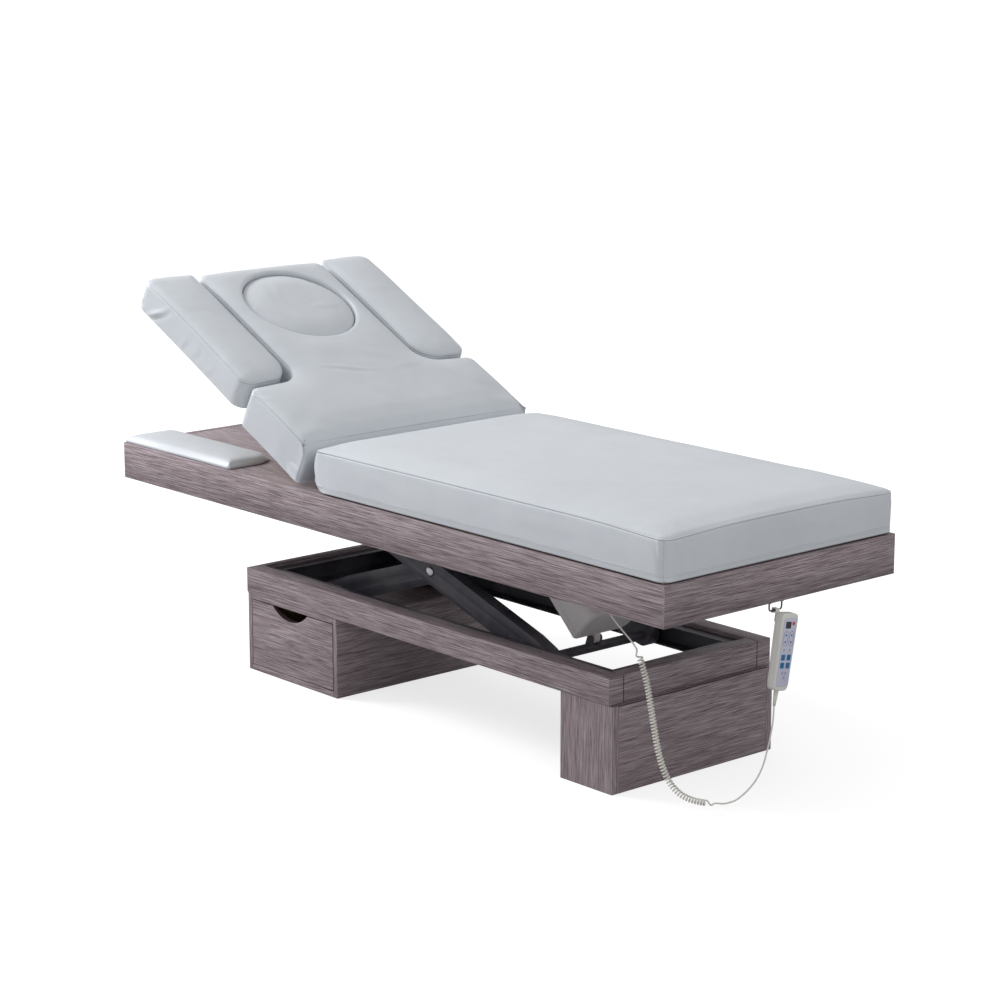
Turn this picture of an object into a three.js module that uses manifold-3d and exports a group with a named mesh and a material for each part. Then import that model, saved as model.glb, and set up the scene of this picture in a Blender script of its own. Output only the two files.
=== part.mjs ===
// Spa bed with a cabinet base: a padded top on a scissor lift, carried by a wooden ring on a
// drawer cabinet and a pedestal. Millimetres, +Z up, +X towards the foot end, -Y the drawer side.
import * as THREE from 'three';
import { mergeVertices } from 'three/addons/utils/BufferGeometryUtils.js';
import Module from 'manifold-3d';

const wasm = await Module();
wasm.setup();

// Driving dimensions
const PLATFORM_LENGTH = 1930;
const PLATFORM_WIDTH = 700;
const APRON_HEIGHT = 89.5;
const APRON_THICKNESS = 20;
const TOP_BOARD_THICKNESS = 18;
const RING_LENGTH = 1294;
const RING_WIDTH = 494;
const RING_HEIGHT = 62;
const CABINET_HEIGHT = 195.5;
const CABINET_LENGTH = 352;
const PEDESTAL_LENGTH = 164;
const MATTRESS_THICKNESS = 112;
const BACK_LENGTH = 722;
const BACK_THICKNESS = 112;
const ARM_SPAN = 819;
const LIFT_ANGLE = THREE.MathUtils.degToRad(18);
const BACK_ANGLE = THREE.MathUtils.degToRad(26.5);

// Clearances and construction values used by many pieces
const SEAT = 0.3;
const RUNNING_GAP = 0.5;
const SIDE_GAP = 2;
const OVERRUN = 5;
const MERGE_DISTANCE = 1e-4;
const ROUND_SIDES = 16;
const SMALL_SIDES = 12;
const ARC_STEPS = 6;
const CORNER_STEPS = 5;
const LEAST_ROUND = 1;

// Solids
function toSolid(geometry) {
  const bare = geometry.clone();
  for (const name of Object.keys(bare.attributes)) {
    if (name !== 'position') bare.deleteAttribute(name);
  }
  const merged = mergeVertices(bare, MERGE_DISTANCE);
  const mesh = new wasm.Mesh({
    numProp: 3,
    vertProperties: new Float32Array(merged.attributes.position.array),
    triVerts: new Uint32Array(merged.index.array),
  });
  return new wasm.Manifold(mesh);
}

function toGeometry(solid) {
  const mesh = solid.getMesh();
  const stride = mesh.numProp;
  const places = new Float32Array(mesh.numVert * 3);
  for (let i = 0; i < mesh.numVert; i += 1) {
    places.set(mesh.vertProperties.subarray(i * stride, i * stride + 3), i * 3);
  }
  const geometry = new THREE.BufferGeometry();
  geometry.setAttribute('position', new THREE.BufferAttribute(places, 3));
  geometry.setIndex(new THREE.BufferAttribute(new Uint32Array(mesh.triVerts), 1));
  const shown = geometry.toNonIndexed();
  shown.computeVertexNormals();
  return shown;
}

function join(solids) {
  return solids.reduce((whole, piece) => whole.add(piece));
}

function middle(range) {
  return (range[0] + range[1]) / 2;
}

// A block between two places on each axis
function block(x, y, z) {
  const box = new THREE.BoxGeometry(x[1] - x[0], y[1] - y[0], z[1] - z[0]);
  box.translate(middle(x), middle(y), middle(z));
  return toSolid(box);
}

// A plan outline raised along Z
function plateZ(shape, z) {
  const options = { depth: z[1] - z[0], bevelEnabled: false, curveSegments: ARC_STEPS };
  return toSolid(new THREE.ExtrudeGeometry(shape, options).translate(0, 0, z[0]));
}

// A side outline in X and Z, drawn along Y
function plateY(shape, y) {
  const options = { depth: y[1] - y[0], bevelEnabled: false, curveSegments: ARC_STEPS };
  const plate = new THREE.ExtrudeGeometry(shape, options);
  plate.rotateX(Math.PI / 2).translate(0, y[1], 0);
  return toSolid(plate);
}

// An end outline in Y and Z, drawn along X
function plateX(shape, x) {
  const options = { depth: x[1] - x[0], bevelEnabled: false, curveSegments: ARC_STEPS };
  const turn = new THREE.Matrix4().makeBasis(
    new THREE.Vector3(0, 1, 0),
    new THREE.Vector3(0, 0, 1),
    new THREE.Vector3(1, 0, 0),
  );
  const plate = new THREE.ExtrudeGeometry(shape, options).applyMatrix4(turn);
  return toSolid(plate.translate(x[0], 0, 0));
}

function pinY(x, z, radius, y, sides = ROUND_SIDES) {
  const pin = new THREE.CylinderGeometry(radius, radius, y[1] - y[0], sides);
  return toSolid(pin.translate(x, middle(y), z));
}

function pinX(y, z, radius, x, sides = ROUND_SIDES) {
  const pin = new THREE.CylinderGeometry(radius, radius, x[1] - x[0], sides);
  return toSolid(pin.rotateZ(-Math.PI / 2).translate(middle(x), y, z));
}

function pinZ(x, y, radius, z, sides = ROUND_SIDES) {
  const pin = new THREE.CylinderGeometry(radius, radius, z[1] - z[0], sides);
  return toSolid(pin.rotateX(Math.PI / 2).translate(x, y, middle(z)));
}

function polygon(points) {
  return new THREE.Shape(points.map(([a, b]) => new THREE.Vector2(a, b)));
}

// The range from one distance to another on the side that sign names
function sided(sign, near, far) {
  return sign > 0 ? [near, far] : [-far, -near];
}

const SIDES = [
  { sign: -1, name: 'near' },
  { sign: 1, name: 'far' },
];

// An outline with rounded corners, each edge moved in by its inset. Corners run anticlockwise,
// and every inset gives the same number of points, so that rings of them can be lofted.
function roundedOutline(corners, insets) {
  const count = corners.length;
  const edges = corners.map((corner, i) => {
    const next = corners[(i + 1) % count];
    const along = new THREE.Vector2(next.x - corner.x, next.y - corner.y).normalize();
    const inset = Array.isArray(insets) ? insets[i] : insets;
    const inward = new THREE.Vector2(-along.y, along.x);
    const point = new THREE.Vector2(corner.x, corner.y).addScaledVector(inward, inset);
    return { point, along, inset };
  });
  return corners.flatMap((corner, i) => {
    const before = edges[(i + count - 1) % count];
    const after = edges[i];
    const turn = before.along.cross(after.along);
    const reach = after.point.clone().sub(before.point).cross(after.along) / turn;
    const tip = before.point.clone().addScaledVector(before.along, reach);
    const side = Math.sign(turn);
    const inset = (before.inset + after.inset) / 2;
    const radius = Math.max(corner.r - side * inset, LEAST_ROUND);
    const angle = Math.acos(THREE.MathUtils.clamp(before.along.dot(after.along), -1, 1));
    const start = tip.clone().addScaledVector(before.along, -radius * Math.tan(angle / 2));
    const inward = new THREE.Vector2(-before.along.y, before.along.x).multiplyScalar(side);
    const centre = start.clone().addScaledVector(inward, radius);
    return Array.from({ length: CORNER_STEPS + 1 }, (_, k) => {
      return start.clone().rotateAround(centre, (side * angle * k) / CORNER_STEPS);
    });
  });
}

// A closed skin through rings of equal point counts, each at its own height
function loft(rings) {
  const size = rings[0].outline.length;
  const places = rings.flatMap(({ outline, z }) => outline.flatMap((p) => [p.x, p.y, z]));
  const faces = [];
  for (let level = 0; level + 1 < rings.length; level += 1) {
    for (let i = 0; i < size; i += 1) {
      const a = level * size + i;
      const b = level * size + ((i + 1) % size);
      faces.push(a, b, b + size, a, b + size, a + size);
    }
  }
  const top = rings.length - 1;
  const cap = (level, flip) => {
    for (const [a, b, c] of THREE.ShapeUtils.triangulateShape(rings[level].outline, [])) {
      const corners = flip ? [a, c, b] : [a, b, c];
      faces.push(...corners.map((corner) => corner + level * size));
    }
  };
  cap(0, true);
  cap(top, false);
  const skin = new THREE.BufferGeometry();
  skin.setAttribute('position', new THREE.Float32BufferAttribute(places, 3));
  skin.setIndex(faces);
  return toSolid(skin);
}

// Finishes
function finish(color, roughness, metalness = 0) {
  return new THREE.MeshStandardMaterial({ color, roughness, metalness });
}

const FINISHES = {
  wood: () => finish(0x857a7a, 0.6),
  plywood: () => finish(0xb49a78, 0.75),
  vinyl: () => finish(0xbfc7cd, 0.45),
  steel: () => finish(0x2c2b31, 0.5, 0.6),
  chrome: () => finish(0xc8c8cc, 0.2, 1),
  motor: () => finish(0xc9c5c0, 0.55),
  rubber: () => finish(0x1c1c1e, 0.8),
  handset: () => finish(0xe1ded7, 0.5),
  keypad: () => finish(0xc8c8e1, 0.5),
  cord: () => finish(0xcdcbbe, 0.55),
};

function piece(parent, name, solid, kind) {
  const mesh = new THREE.Mesh(toGeometry(solid), FINISHES[kind]());
  mesh.name = name;
  parent.add(mesh);
  return mesh;
}

const bed = new THREE.Group();

// Base ring: two long rails with the head and foot rails between them
const RING_OFFSET = 53;
const LONG_RAIL_THICKNESS = 42;
const HEAD_RAIL_THICKNESS = 17;
const FOOT_RAIL_THICKNESS = 36;
const platformX = [-PLATFORM_LENGTH / 2, PLATFORM_LENGTH / 2];
const ringX = [RING_OFFSET - RING_LENGTH / 2, RING_OFFSET + RING_LENGTH / 2];
const ringZ = [CABINET_HEIGHT + SEAT, CABINET_HEIGHT + RING_HEIGHT];
const ringHalf = RING_WIDTH / 2;
const ringInner = ringHalf - LONG_RAIL_THICKNESS;
const headRailX = [ringX[0], ringX[0] + HEAD_RAIL_THICKNESS];
const footRailX = [ringX[1] - FOOT_RAIL_THICKNESS, ringX[1]];

function buildRing() {
  for (const { sign, name } of SIDES) {
    const rail = block(ringX, sided(sign, ringInner, ringHalf), ringZ);
    piece(bed, `ring_rail_${name}`, rail, 'wood');
  }
  const between = [-ringInner + SEAT, ringInner - SEAT];
  piece(bed, 'ring_rail_head', block(headRailX, between, ringZ), 'wood');
  piece(bed, 'ring_rail_foot', block(footRailX, between, ringZ), 'wood');
}

// Steel base frame: channels that line the ring, and two brackets that carry the inner arms
const CHANNEL_HEIGHT = 50;
const CHANNEL_WIDTH = 35;
const CHANNEL_WALL = 3;
const CHANNEL_RISE = 2;
const ROLLER_RADIUS = 21;
const ROLLER_WIDTH = 14;
const ROLLER_EDGE = 2;
const PIVOT_SETBACK = 219;
const PIVOT_PIN_RADIUS = 8;
const PIVOT_BAR_LENGTH = 30;
const PIVOT_BAR_HEIGHT = 20;
const PIVOT_BAR_OFFSET = 35;
const BRACKET_THICKNESS = 12;
const BRACKET_HEAD_RADIUS = 20;
const ARM_SETBACK = 107;
const ARM_THICKNESS = 32;
const ARM_DEPTH = 60;
const ARM_END_RADIUS = 25;
const ARM_TAPER = 45;
const ARM_WALL = 3;
const ARM_GAP = 6;
const DOME_RADIUS = 13;
const DOME_HEIGHT = 5;
const DOME_STEPS = 4;
const channelZ = [CABINET_HEIGHT + CHANNEL_RISE, CABINET_HEIGHT + CHANNEL_RISE + CHANNEL_HEIGHT];
const channelOuter = ringInner - SEAT;
const channelInner = channelOuter - CHANNEL_WIDTH;
const baseX = [headRailX[1] + SEAT, footRailX[0] - SEAT];
const lowZ = channelZ[0] + CHANNEL_WALL + SEAT + ROLLER_RADIUS;
const pivotX = ringX[0] + PIVOT_SETBACK;
const innerArm = [ringInner - ARM_SETBACK, ringInner - ARM_SETBACK + ARM_THICKNESS];
const outerArm = [innerArm[1] + ARM_GAP, innerArm[1] + ARM_GAP + ARM_THICKNESS];
const bracketY = [innerArm[0] - SIDE_GAP - BRACKET_THICKNESS, innerArm[0] - SIDE_GAP];

// A channel section that opens towards the middle, as an outline across its length
function channelOutline(inner, outer, low, high, wall) {
  return [
    [outer, low],
    [outer, high],
    [inner, high],
    [inner, high - wall],
    [outer - wall, high - wall],
    [outer - wall, low + wall],
    [inner, low + wall],
    [inner, low],
  ];
}

// A domed bolt head that stands on the plane y, facing the side that sign names
function dome(x, z, y, sign) {
  const profile = [new THREE.Vector2(0, 0), new THREE.Vector2(DOME_RADIUS, 0)];
  for (let i = 1; i < DOME_STEPS; i += 1) {
    const angle = (Math.PI / 2) * (i / DOME_STEPS);
    profile.push(new THREE.Vector2(DOME_RADIUS * Math.cos(angle), DOME_HEIGHT * Math.sin(angle)));
  }
  profile.push(new THREE.Vector2(0, DOME_HEIGHT));
  const head = new THREE.LatheGeometry(profile, SMALL_SIDES);
  if (sign < 0) head.rotateX(Math.PI);
  return toSolid(head.translate(x, y, z));
}

function buildBaseFrame() {
  const parts = SIDES.map(({ sign }) => {
    const points = channelOutline(channelInner, channelOuter, ...channelZ, CHANNEL_WALL);
    return plateX(polygon(points.map(([y, z]) => [sign * y, z])), baseX);
  });
  const between = [-channelOuter, channelOuter];
  for (const side of [-1, 1]) {
    const outer = side > 0 ? baseX[1] : -baseX[0];
    const points = channelOutline(outer - CHANNEL_WIDTH, outer, ...channelZ, CHANNEL_WALL);
    parts.push(plateY(polygon(points.map(([x, z]) => [side * x, z])), between));
  }
  const barEnd = pivotX - PIVOT_BAR_OFFSET;
  const barZ = [channelZ[0], channelZ[0] + PIVOT_BAR_HEIGHT];
  for (const { sign } of SIDES) {
    const barY = sided(sign, bracketY[0], channelOuter - CHANNEL_WALL / 2);
    parts.push(block([barEnd - PIVOT_BAR_LENGTH, barEnd], barY, barZ));
    const plate = polygon([
      [barEnd - PIVOT_BAR_LENGTH, channelZ[0]],
      [pivotX + BRACKET_HEAD_RADIUS, channelZ[0]],
      [pivotX + BRACKET_HEAD_RADIUS, lowZ + BRACKET_HEAD_RADIUS],
      [pivotX - BRACKET_HEAD_RADIUS, lowZ + BRACKET_HEAD_RADIUS],
      [barEnd - PIVOT_BAR_LENGTH, barZ[1]],
    ]);
    parts.push(plateY(plate, sided(sign, ...bracketY)));
    const face = innerArm[1] + SEAT;
    parts.push(pinY(pivotX, lowZ, PIVOT_PIN_RADIUS, sided(sign, bracketY[0], face)));
    parts.push(dome(pivotX, lowZ, sign * face, sign));
  }
  piece(bed, 'base_frame', join(parts), 'steel');
}

// Drawer cabinet under the head end of the ring
const CABINET_SETBACK = 2;
const CABINET_INSET = 1.3;
const BOARD_THICKNESS = 14.3;
const FRONT_THICKNESS = 16;
const FRONT_GAP = 1.7;
const FINGER_WIDTH = 136;
const FINGER_DEPTH = 28;
const FINGER_OFFSET = -7;
const MOON_SIDES = 72;
const RUNNER_WIDTH = 21;
const RUNNER_HEIGHT = 15;
const DRAWER_BOARD = 12;
const DRAWER_SIDE_GAP = 11;
const DRAWER_BACK_GAP = 41.1;
const DRAWER_TOP_GAP = 30;
const DRAWER_FLOOR_THICKNESS = 6;
const DRAWER_FLOOR_RISE = 5;
const cabinetX = [ringX[0] + CABINET_SETBACK, ringX[0] + CABINET_SETBACK + CABINET_LENGTH];
const cabinetHalf = ringHalf - CABINET_INSET;
const cabinetInsideX = [cabinetX[0] + BOARD_THICKNESS, cabinetX[1] - BOARD_THICKNESS];
const cabinetInsideZ = [BOARD_THICKNESS, CABINET_HEIGHT - BOARD_THICKNESS];
const runnerTop = cabinetInsideZ[0] + SEAT + RUNNER_HEIGHT;

function buildCabinet() {
  const fullY = [-cabinetHalf, cabinetHalf];
  const fullZ = [0, CABINET_HEIGHT];
  const runnerZ = [cabinetInsideZ[0] + SEAT, runnerTop];
  const runnerY = [-cabinetHalf + FRONT_THICKNESS + SIDE_GAP, cabinetHalf - BOARD_THICKNESS - SIDE_GAP];
  const sides = [
    { name: 'head', x: [cabinetX[0], cabinetInsideX[0]], inward: 1 },
    { name: 'foot', x: [cabinetInsideX[1], cabinetX[1]], inward: -1 },
  ];
  for (const { name, x, inward } of sides) {
    const wall = block(x, fullY, fullZ);
    const edge = inward > 0 ? x[1] : x[0];
    const strip = inward > 0 ? [edge, edge + RUNNER_WIDTH] : [edge - RUNNER_WIDTH, edge];
    piece(bed, `cabinet_side_${name}`, wall.add(block(strip, runnerY, runnerZ)), 'wood');
  }
  const x = [cabinetInsideX[0] + SEAT, cabinetInsideX[1] - SEAT];
  piece(bed, 'cabinet_bottom', block(x, fullY, [0, cabinetInsideZ[0]]), 'wood');
  piece(bed, 'cabinet_top', block(x, fullY, [cabinetInsideZ[1], CABINET_HEIGHT]), 'wood');
  const backZ = [cabinetInsideZ[0] + SEAT, cabinetInsideZ[1] - SEAT];
  const backY = [cabinetHalf - BOARD_THICKNESS, cabinetHalf];
  piece(bed, 'cabinet_back', block(x, backY, backZ), 'wood');
}

function buildDrawer() {
  const frontX = [cabinetInsideX[0] + FRONT_GAP, cabinetInsideX[1] - FRONT_GAP];
  const frontY = [-cabinetHalf, -cabinetHalf + FRONT_THICKNESS];
  const frontZ = [cabinetInsideZ[0] + FRONT_GAP, cabinetInsideZ[1] - FRONT_GAP];
  const half = FINGER_WIDTH / 2;
  const radius = (half ** 2 + FINGER_DEPTH ** 2) / (2 * FINGER_DEPTH);
  const centreX = middle(frontX) + FINGER_OFFSET;
  const centreZ = frontZ[1] - FINGER_DEPTH + radius;
  const moon = new THREE.CylinderGeometry(radius, radius, FRONT_THICKNESS + 2 * OVERRUN, MOON_SIDES);
  const cut = toSolid(moon.translate(centreX, middle(frontY), centreZ));
  piece(bed, 'drawer_front', block(frontX, frontY, frontZ).subtract(cut), 'wood');

  const boxX = [cabinetInsideX[0] + DRAWER_SIDE_GAP, cabinetInsideX[1] - DRAWER_SIDE_GAP];
  const boxY = [frontY[1] + SEAT, cabinetHalf - BOARD_THICKNESS - DRAWER_BACK_GAP];
  const boxZ = [runnerTop + SEAT, frontZ[1] - DRAWER_TOP_GAP];
  const innerX = [boxX[0] + DRAWER_BOARD, boxX[1] - DRAWER_BOARD];
  piece(bed, 'drawer_side_head', block([boxX[0], innerX[0]], boxY, boxZ), 'plywood');
  piece(bed, 'drawer_side_foot', block([innerX[1], boxX[1]], boxY, boxZ), 'plywood');
  const between = [innerX[0] + SEAT, innerX[1] - SEAT];
  const backY = [boxY[1] - DRAWER_BOARD, boxY[1]];
  piece(bed, 'drawer_back', block(between, backY, boxZ), 'plywood');
  const floorZ = [boxZ[0] + DRAWER_FLOOR_RISE, boxZ[0] + DRAWER_FLOOR_RISE + DRAWER_FLOOR_THICKNESS];
  const floorY = [boxY[0], backY[0] - SEAT];
  piece(bed, 'drawer_floor', block(between, floorY, floorZ), 'plywood');
}

// Pedestal under the foot end of the ring
const PEDESTAL_OVERHANG = 10;
const PEDESTAL_BOARD = 18;
const pedestalX = [ringX[1] + PEDESTAL_OVERHANG - PEDESTAL_LENGTH, ringX[1] + PEDESTAL_OVERHANG];

function buildPedestal() {
  const z = [0, CABINET_HEIGHT];
  for (const { sign, name } of SIDES) {
    const wall = block(pedestalX, sided(sign, cabinetHalf - PEDESTAL_BOARD, cabinetHalf), z);
    piece(bed, `pedestal_${name}`, wall, 'wood');
  }
  const reach = cabinetHalf - PEDESTAL_BOARD - SEAT;
  const footX = [pedestalX[1] - PEDESTAL_BOARD, pedestalX[1]];
  const headX = [pedestalX[0], pedestalX[0] + PEDESTAL_BOARD];
  piece(bed, 'pedestal_foot', block(footX, [-reach, reach], z), 'wood');
  piece(bed, 'pedestal_head', block(headX, [-reach, reach], z), 'wood');
}

// Scissor lift: the inner arms hinge on the base at the head end and roll under the platform at
// the foot end, the outer arms hinge on the platform and roll in the base channels
const halfSpan = ARM_SPAN / 2;
const crossX = pivotX + halfSpan * Math.cos(LIFT_ANGLE);
const crossZ = lowZ + halfSpan * Math.sin(LIFT_ANGLE);
const topZ = lowZ + ARM_SPAN * Math.sin(LIFT_ANGLE);
const AXLE_RADIUS = 6;
const AXLE_CAP_RADIUS = 9;
const AXLE_CAP_THICKNESS = 3;
const LOWER_TUBE_RADIUS = 11;
const UPPER_TUBE_RADIUS = 14;
const UPPER_TUBE_PLACE = 180;
const LUG_THICKNESS = 6;
const LUG_RADIUS = 13;
const NUT_RADIUS = 12;
const NUT_HEIGHT = 8;
const HEX_SIDES = 6;

// Lift actuator: it hinges on the lower tube and pushes a pin above the inner arms
const MOTOR_ANGLE = THREE.MathUtils.degToRad(44);
const MOTOR_PIN_RISE = 24;
const MOTOR_EYE_RADIUS = 10;
const MOTOR_PIN_RADIUS = 5;
const MOTOR_MIDDLE_Y = -19;
const ROD_REACH = 300;
const ROD_OFFSET = 36;
const ROD_RADIUS = 8;
const ROD_LENGTH = 190;
const ROD_EYE_RADIUS = 12;
const ROD_EYE_WIDTH = 16;
const TUBE_RADIUS = 23.5;
const TUBE_BORE = 20;
const TUBE_MOUTH = 234;
const BORE_START = 56;
const HOUSING_START = 2;
const HOUSING_LENGTH = 122;
const HOUSING_RISE = 10;
const HOUSING_HEIGHT = 96;
const HOUSING_GAPS = { near: 8, far: 26 };
const HOUSING_ROUND = 27;
const HOUSING_RIM_ROUND = 8;
const HOUSING_EDGE = 5;
const COVER_GROOVE = 1.2;
const COVER_LINE = 20;
const MOTOR_LUG_WIDTH = 16;
const MOTOR_LUG_RADIUS = 9;
const MOTOR_LUG_REACH = 16;
const housingNear = innerArm[0] + MOTOR_MIDDLE_Y - HOUSING_GAPS.near;
const housingFar = innerArm[0] - MOTOR_MIDDLE_Y - HOUSING_GAPS.far;
const outerDown = new THREE.Vector2(Math.cos(LIFT_ANGLE), -Math.sin(LIFT_ANGLE));
const outerUp = new THREE.Vector2(Math.sin(LIFT_ANGLE), Math.cos(LIFT_ANGLE));
const motorAlong = new THREE.Vector2(-Math.cos(MOTOR_ANGLE), Math.sin(MOTOR_ANGLE));
const motorUp = new THREE.Vector2(Math.sin(MOTOR_ANGLE), Math.cos(MOTOR_ANGLE));
const rollerPlace = new THREE.Vector2(crossX, crossZ).addScaledVector(outerDown, halfSpan);
const motorPin = rollerPlace.clone().addScaledVector(outerUp, MOTOR_PIN_RISE);
const rodPin = motorPin.clone().addScaledVector(motorAlong, ROD_REACH);
rodPin.addScaledVector(motorUp, ROD_OFFSET);

function armOutline(depth, endRadius, taper) {
  const outline = new THREE.Shape();
  outline.moveTo(-halfSpan, -endRadius);
  outline.lineTo(-halfSpan + taper, -depth / 2);
  outline.lineTo(halfSpan - taper, -depth / 2);
  outline.lineTo(halfSpan, -endRadius);
  outline.absarc(halfSpan, 0, endRadius, -Math.PI / 2, Math.PI / 2, false);
  outline.lineTo(halfSpan - taper, depth / 2);
  outline.lineTo(-halfSpan + taper, depth / 2);
  outline.lineTo(-halfSpan, endRadius);
  outline.absarc(-halfSpan, 0, endRadius, Math.PI / 2, 1.5 * Math.PI, false);
  return outline;
}

// A hollow arm along X about its middle, with bores for its pins
function arm(y, bores) {
  const inside = armOutline(ARM_DEPTH - 2 * ARM_WALL, ARM_END_RADIUS - ARM_WALL, ARM_TAPER);
  const hollow = plateY(inside, [y[0] + ARM_WALL, y[1] - ARM_WALL]);
  const cutY = [y[0] - OVERRUN, y[1] + OVERRUN];
  const holes = bores.map((x) => pinY(x, 0, PIVOT_PIN_RADIUS + RUNNING_GAP, cutY));
  const skin = plateY(armOutline(ARM_DEPTH, ARM_END_RADIUS, ARM_TAPER), y);
  return skin.subtract(hollow).subtract(join(holes));
}

function rollerAxle(sign, x, face) {
  const end = face + SIDE_GAP + ROLLER_WIDTH + SIDE_GAP;
  const capEnd = end + AXLE_CAP_THICKNESS;
  return pinY(x, 0, AXLE_RADIUS, sided(sign, face - ARM_WALL, end), SMALL_SIDES).add(
    pinY(x, 0, AXLE_CAP_RADIUS, sided(sign, end, capEnd), SMALL_SIDES),
  );
}

// A lug plate from one place to another in the arms' own frame
function lug(from, to, radius, y) {
  const along = to.clone().sub(from).normalize();
  const across = new THREE.Vector2(-along.y, along.x);
  const start = Math.atan2(across.y, across.x);
  const outline = new THREE.Shape();
  outline.absarc(to.x, to.y, radius, start - Math.PI, start, false);
  outline.absarc(from.x, from.y, radius, start, start + Math.PI, false);
  outline.closePath();
  return plateY(outline, y);
}

function lugPair(from, to, radius, middleY, insideWidth) {
  const half = insideWidth / 2 + SIDE_GAP;
  return [-1, 1].map((sign) => {
    const y = sided(sign, half, half + LUG_THICKNESS).map((value) => value + middleY);
    return lug(from, to, radius, y);
  });
}

function roller() {
  const half = ROLLER_WIDTH / 2;
  const bore = AXLE_RADIUS + RUNNING_GAP;
  const profile = [
    [bore, -half],
    [ROLLER_RADIUS - ROLLER_EDGE, -half],
    [ROLLER_RADIUS, -half + ROLLER_EDGE],
    [ROLLER_RADIUS, half - ROLLER_EDGE],
    [ROLLER_RADIUS - ROLLER_EDGE, half],
    [bore, half],
    [bore, -half],
  ];
  const points = profile.map(([r, y]) => new THREE.Vector2(r, y));
  return new THREE.LatheGeometry(points, ROUND_SIDES);
}

function placeRollers(level, place, face) {
  for (const { sign, name } of SIDES) {
    const wheel = roller();
    const y = sign * (face + SIDE_GAP + ROLLER_WIDTH / 2);
    piece(bed, `${level}_roller_${name}`, toSolid(wheel.translate(place.x, y, place.y)), 'rubber');
  }
}

// The place of a point of the bed in the frame of an arm that leans by the given angle
function inArmFrame(place, angle) {
  const away = place.clone().sub(new THREE.Vector2(crossX, crossZ));
  return away.rotateAround(new THREE.Vector2(0, 0), -angle);
}

function armGroup(angle) {
  const group = new THREE.Group();
  group.position.set(crossX, 0, crossZ);
  group.rotation.y = -angle;
  bed.add(group);
  return group;
}

function buildInnerArms() {
  const group = armGroup(LIFT_ANGLE);
  const parts = [];
  for (const { sign } of SIDES) {
    parts.push(arm(sided(sign, ...innerArm), [-halfSpan, 0]));
    parts.push(rollerAxle(sign, halfSpan, innerArm[1]));
  }
  const tube = [-innerArm[0] - ARM_WALL, innerArm[0] + ARM_WALL];
  parts.push(pinY(UPPER_TUBE_PLACE, 0, UPPER_TUBE_RADIUS, tube));
  const from = new THREE.Vector2(UPPER_TUBE_PLACE, 0);
  const to = inArmFrame(rodPin, LIFT_ANGLE);
  const lugs = lugPair(from, to, LUG_RADIUS, MOTOR_MIDDLE_Y, ROD_EYE_WIDTH);
  const pinHalf = ROD_EYE_WIDTH / 2 + SIDE_GAP + LUG_THICKNESS;
  const pinSpan = [MOTOR_MIDDLE_Y - pinHalf, MOTOR_MIDDLE_Y + pinHalf];
  lugs.push(pinY(to.x, to.y, MOTOR_PIN_RADIUS, pinSpan, SMALL_SIDES));
  piece(group, 'inner_arms', join([...parts, ...lugs]), 'steel');
}

function buildOuterArms() {
  const group = armGroup(-LIFT_ANGLE);
  const parts = [];
  for (const { sign } of SIDES) {
    parts.push(arm(sided(sign, ...outerArm), [-halfSpan, 0]));
    parts.push(rollerAxle(sign, halfSpan, outerArm[1]));
  }
  const tube = [-outerArm[0] - ARM_WALL, outerArm[0] + ARM_WALL];
  parts.push(pinY(halfSpan, 0, LOWER_TUBE_RADIUS, tube));
  const from = new THREE.Vector2(halfSpan, 0);
  const to = inArmFrame(motorPin, -LIFT_ANGLE);
  const lugs = lugPair(from, to, MOTOR_LUG_RADIUS, MOTOR_MIDDLE_Y, MOTOR_LUG_WIDTH);
  const pinHalf = MOTOR_LUG_WIDTH / 2 + SIDE_GAP + LUG_THICKNESS;
  const pinSpan = [MOTOR_MIDDLE_Y - pinHalf, MOTOR_MIDDLE_Y + pinHalf];
  lugs.push(pinY(to.x, to.y, MOTOR_PIN_RADIUS, pinSpan, SMALL_SIDES));
  piece(group, 'outer_arms', join([...parts, ...lugs]), 'steel');
}

function buildCrossBolts() {
  for (const { sign, name } of SIDES) {
    const face = outerArm[1] + SEAT;
    const end = innerArm[0] - SEAT;
    const shank = pinY(crossX, crossZ, PIVOT_PIN_RADIUS, sided(sign, end, face));
    const nutSpan = sided(sign, end - NUT_HEIGHT, end);
    const nut = pinY(crossX, crossZ, NUT_RADIUS, nutSpan, HEX_SIDES);
    const bolt = join([shank, nut, dome(crossX, crossZ, sign * face, sign)]);
    piece(bed, `cross_bolt_${name}`, bolt, 'chrome');
  }
}

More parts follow.
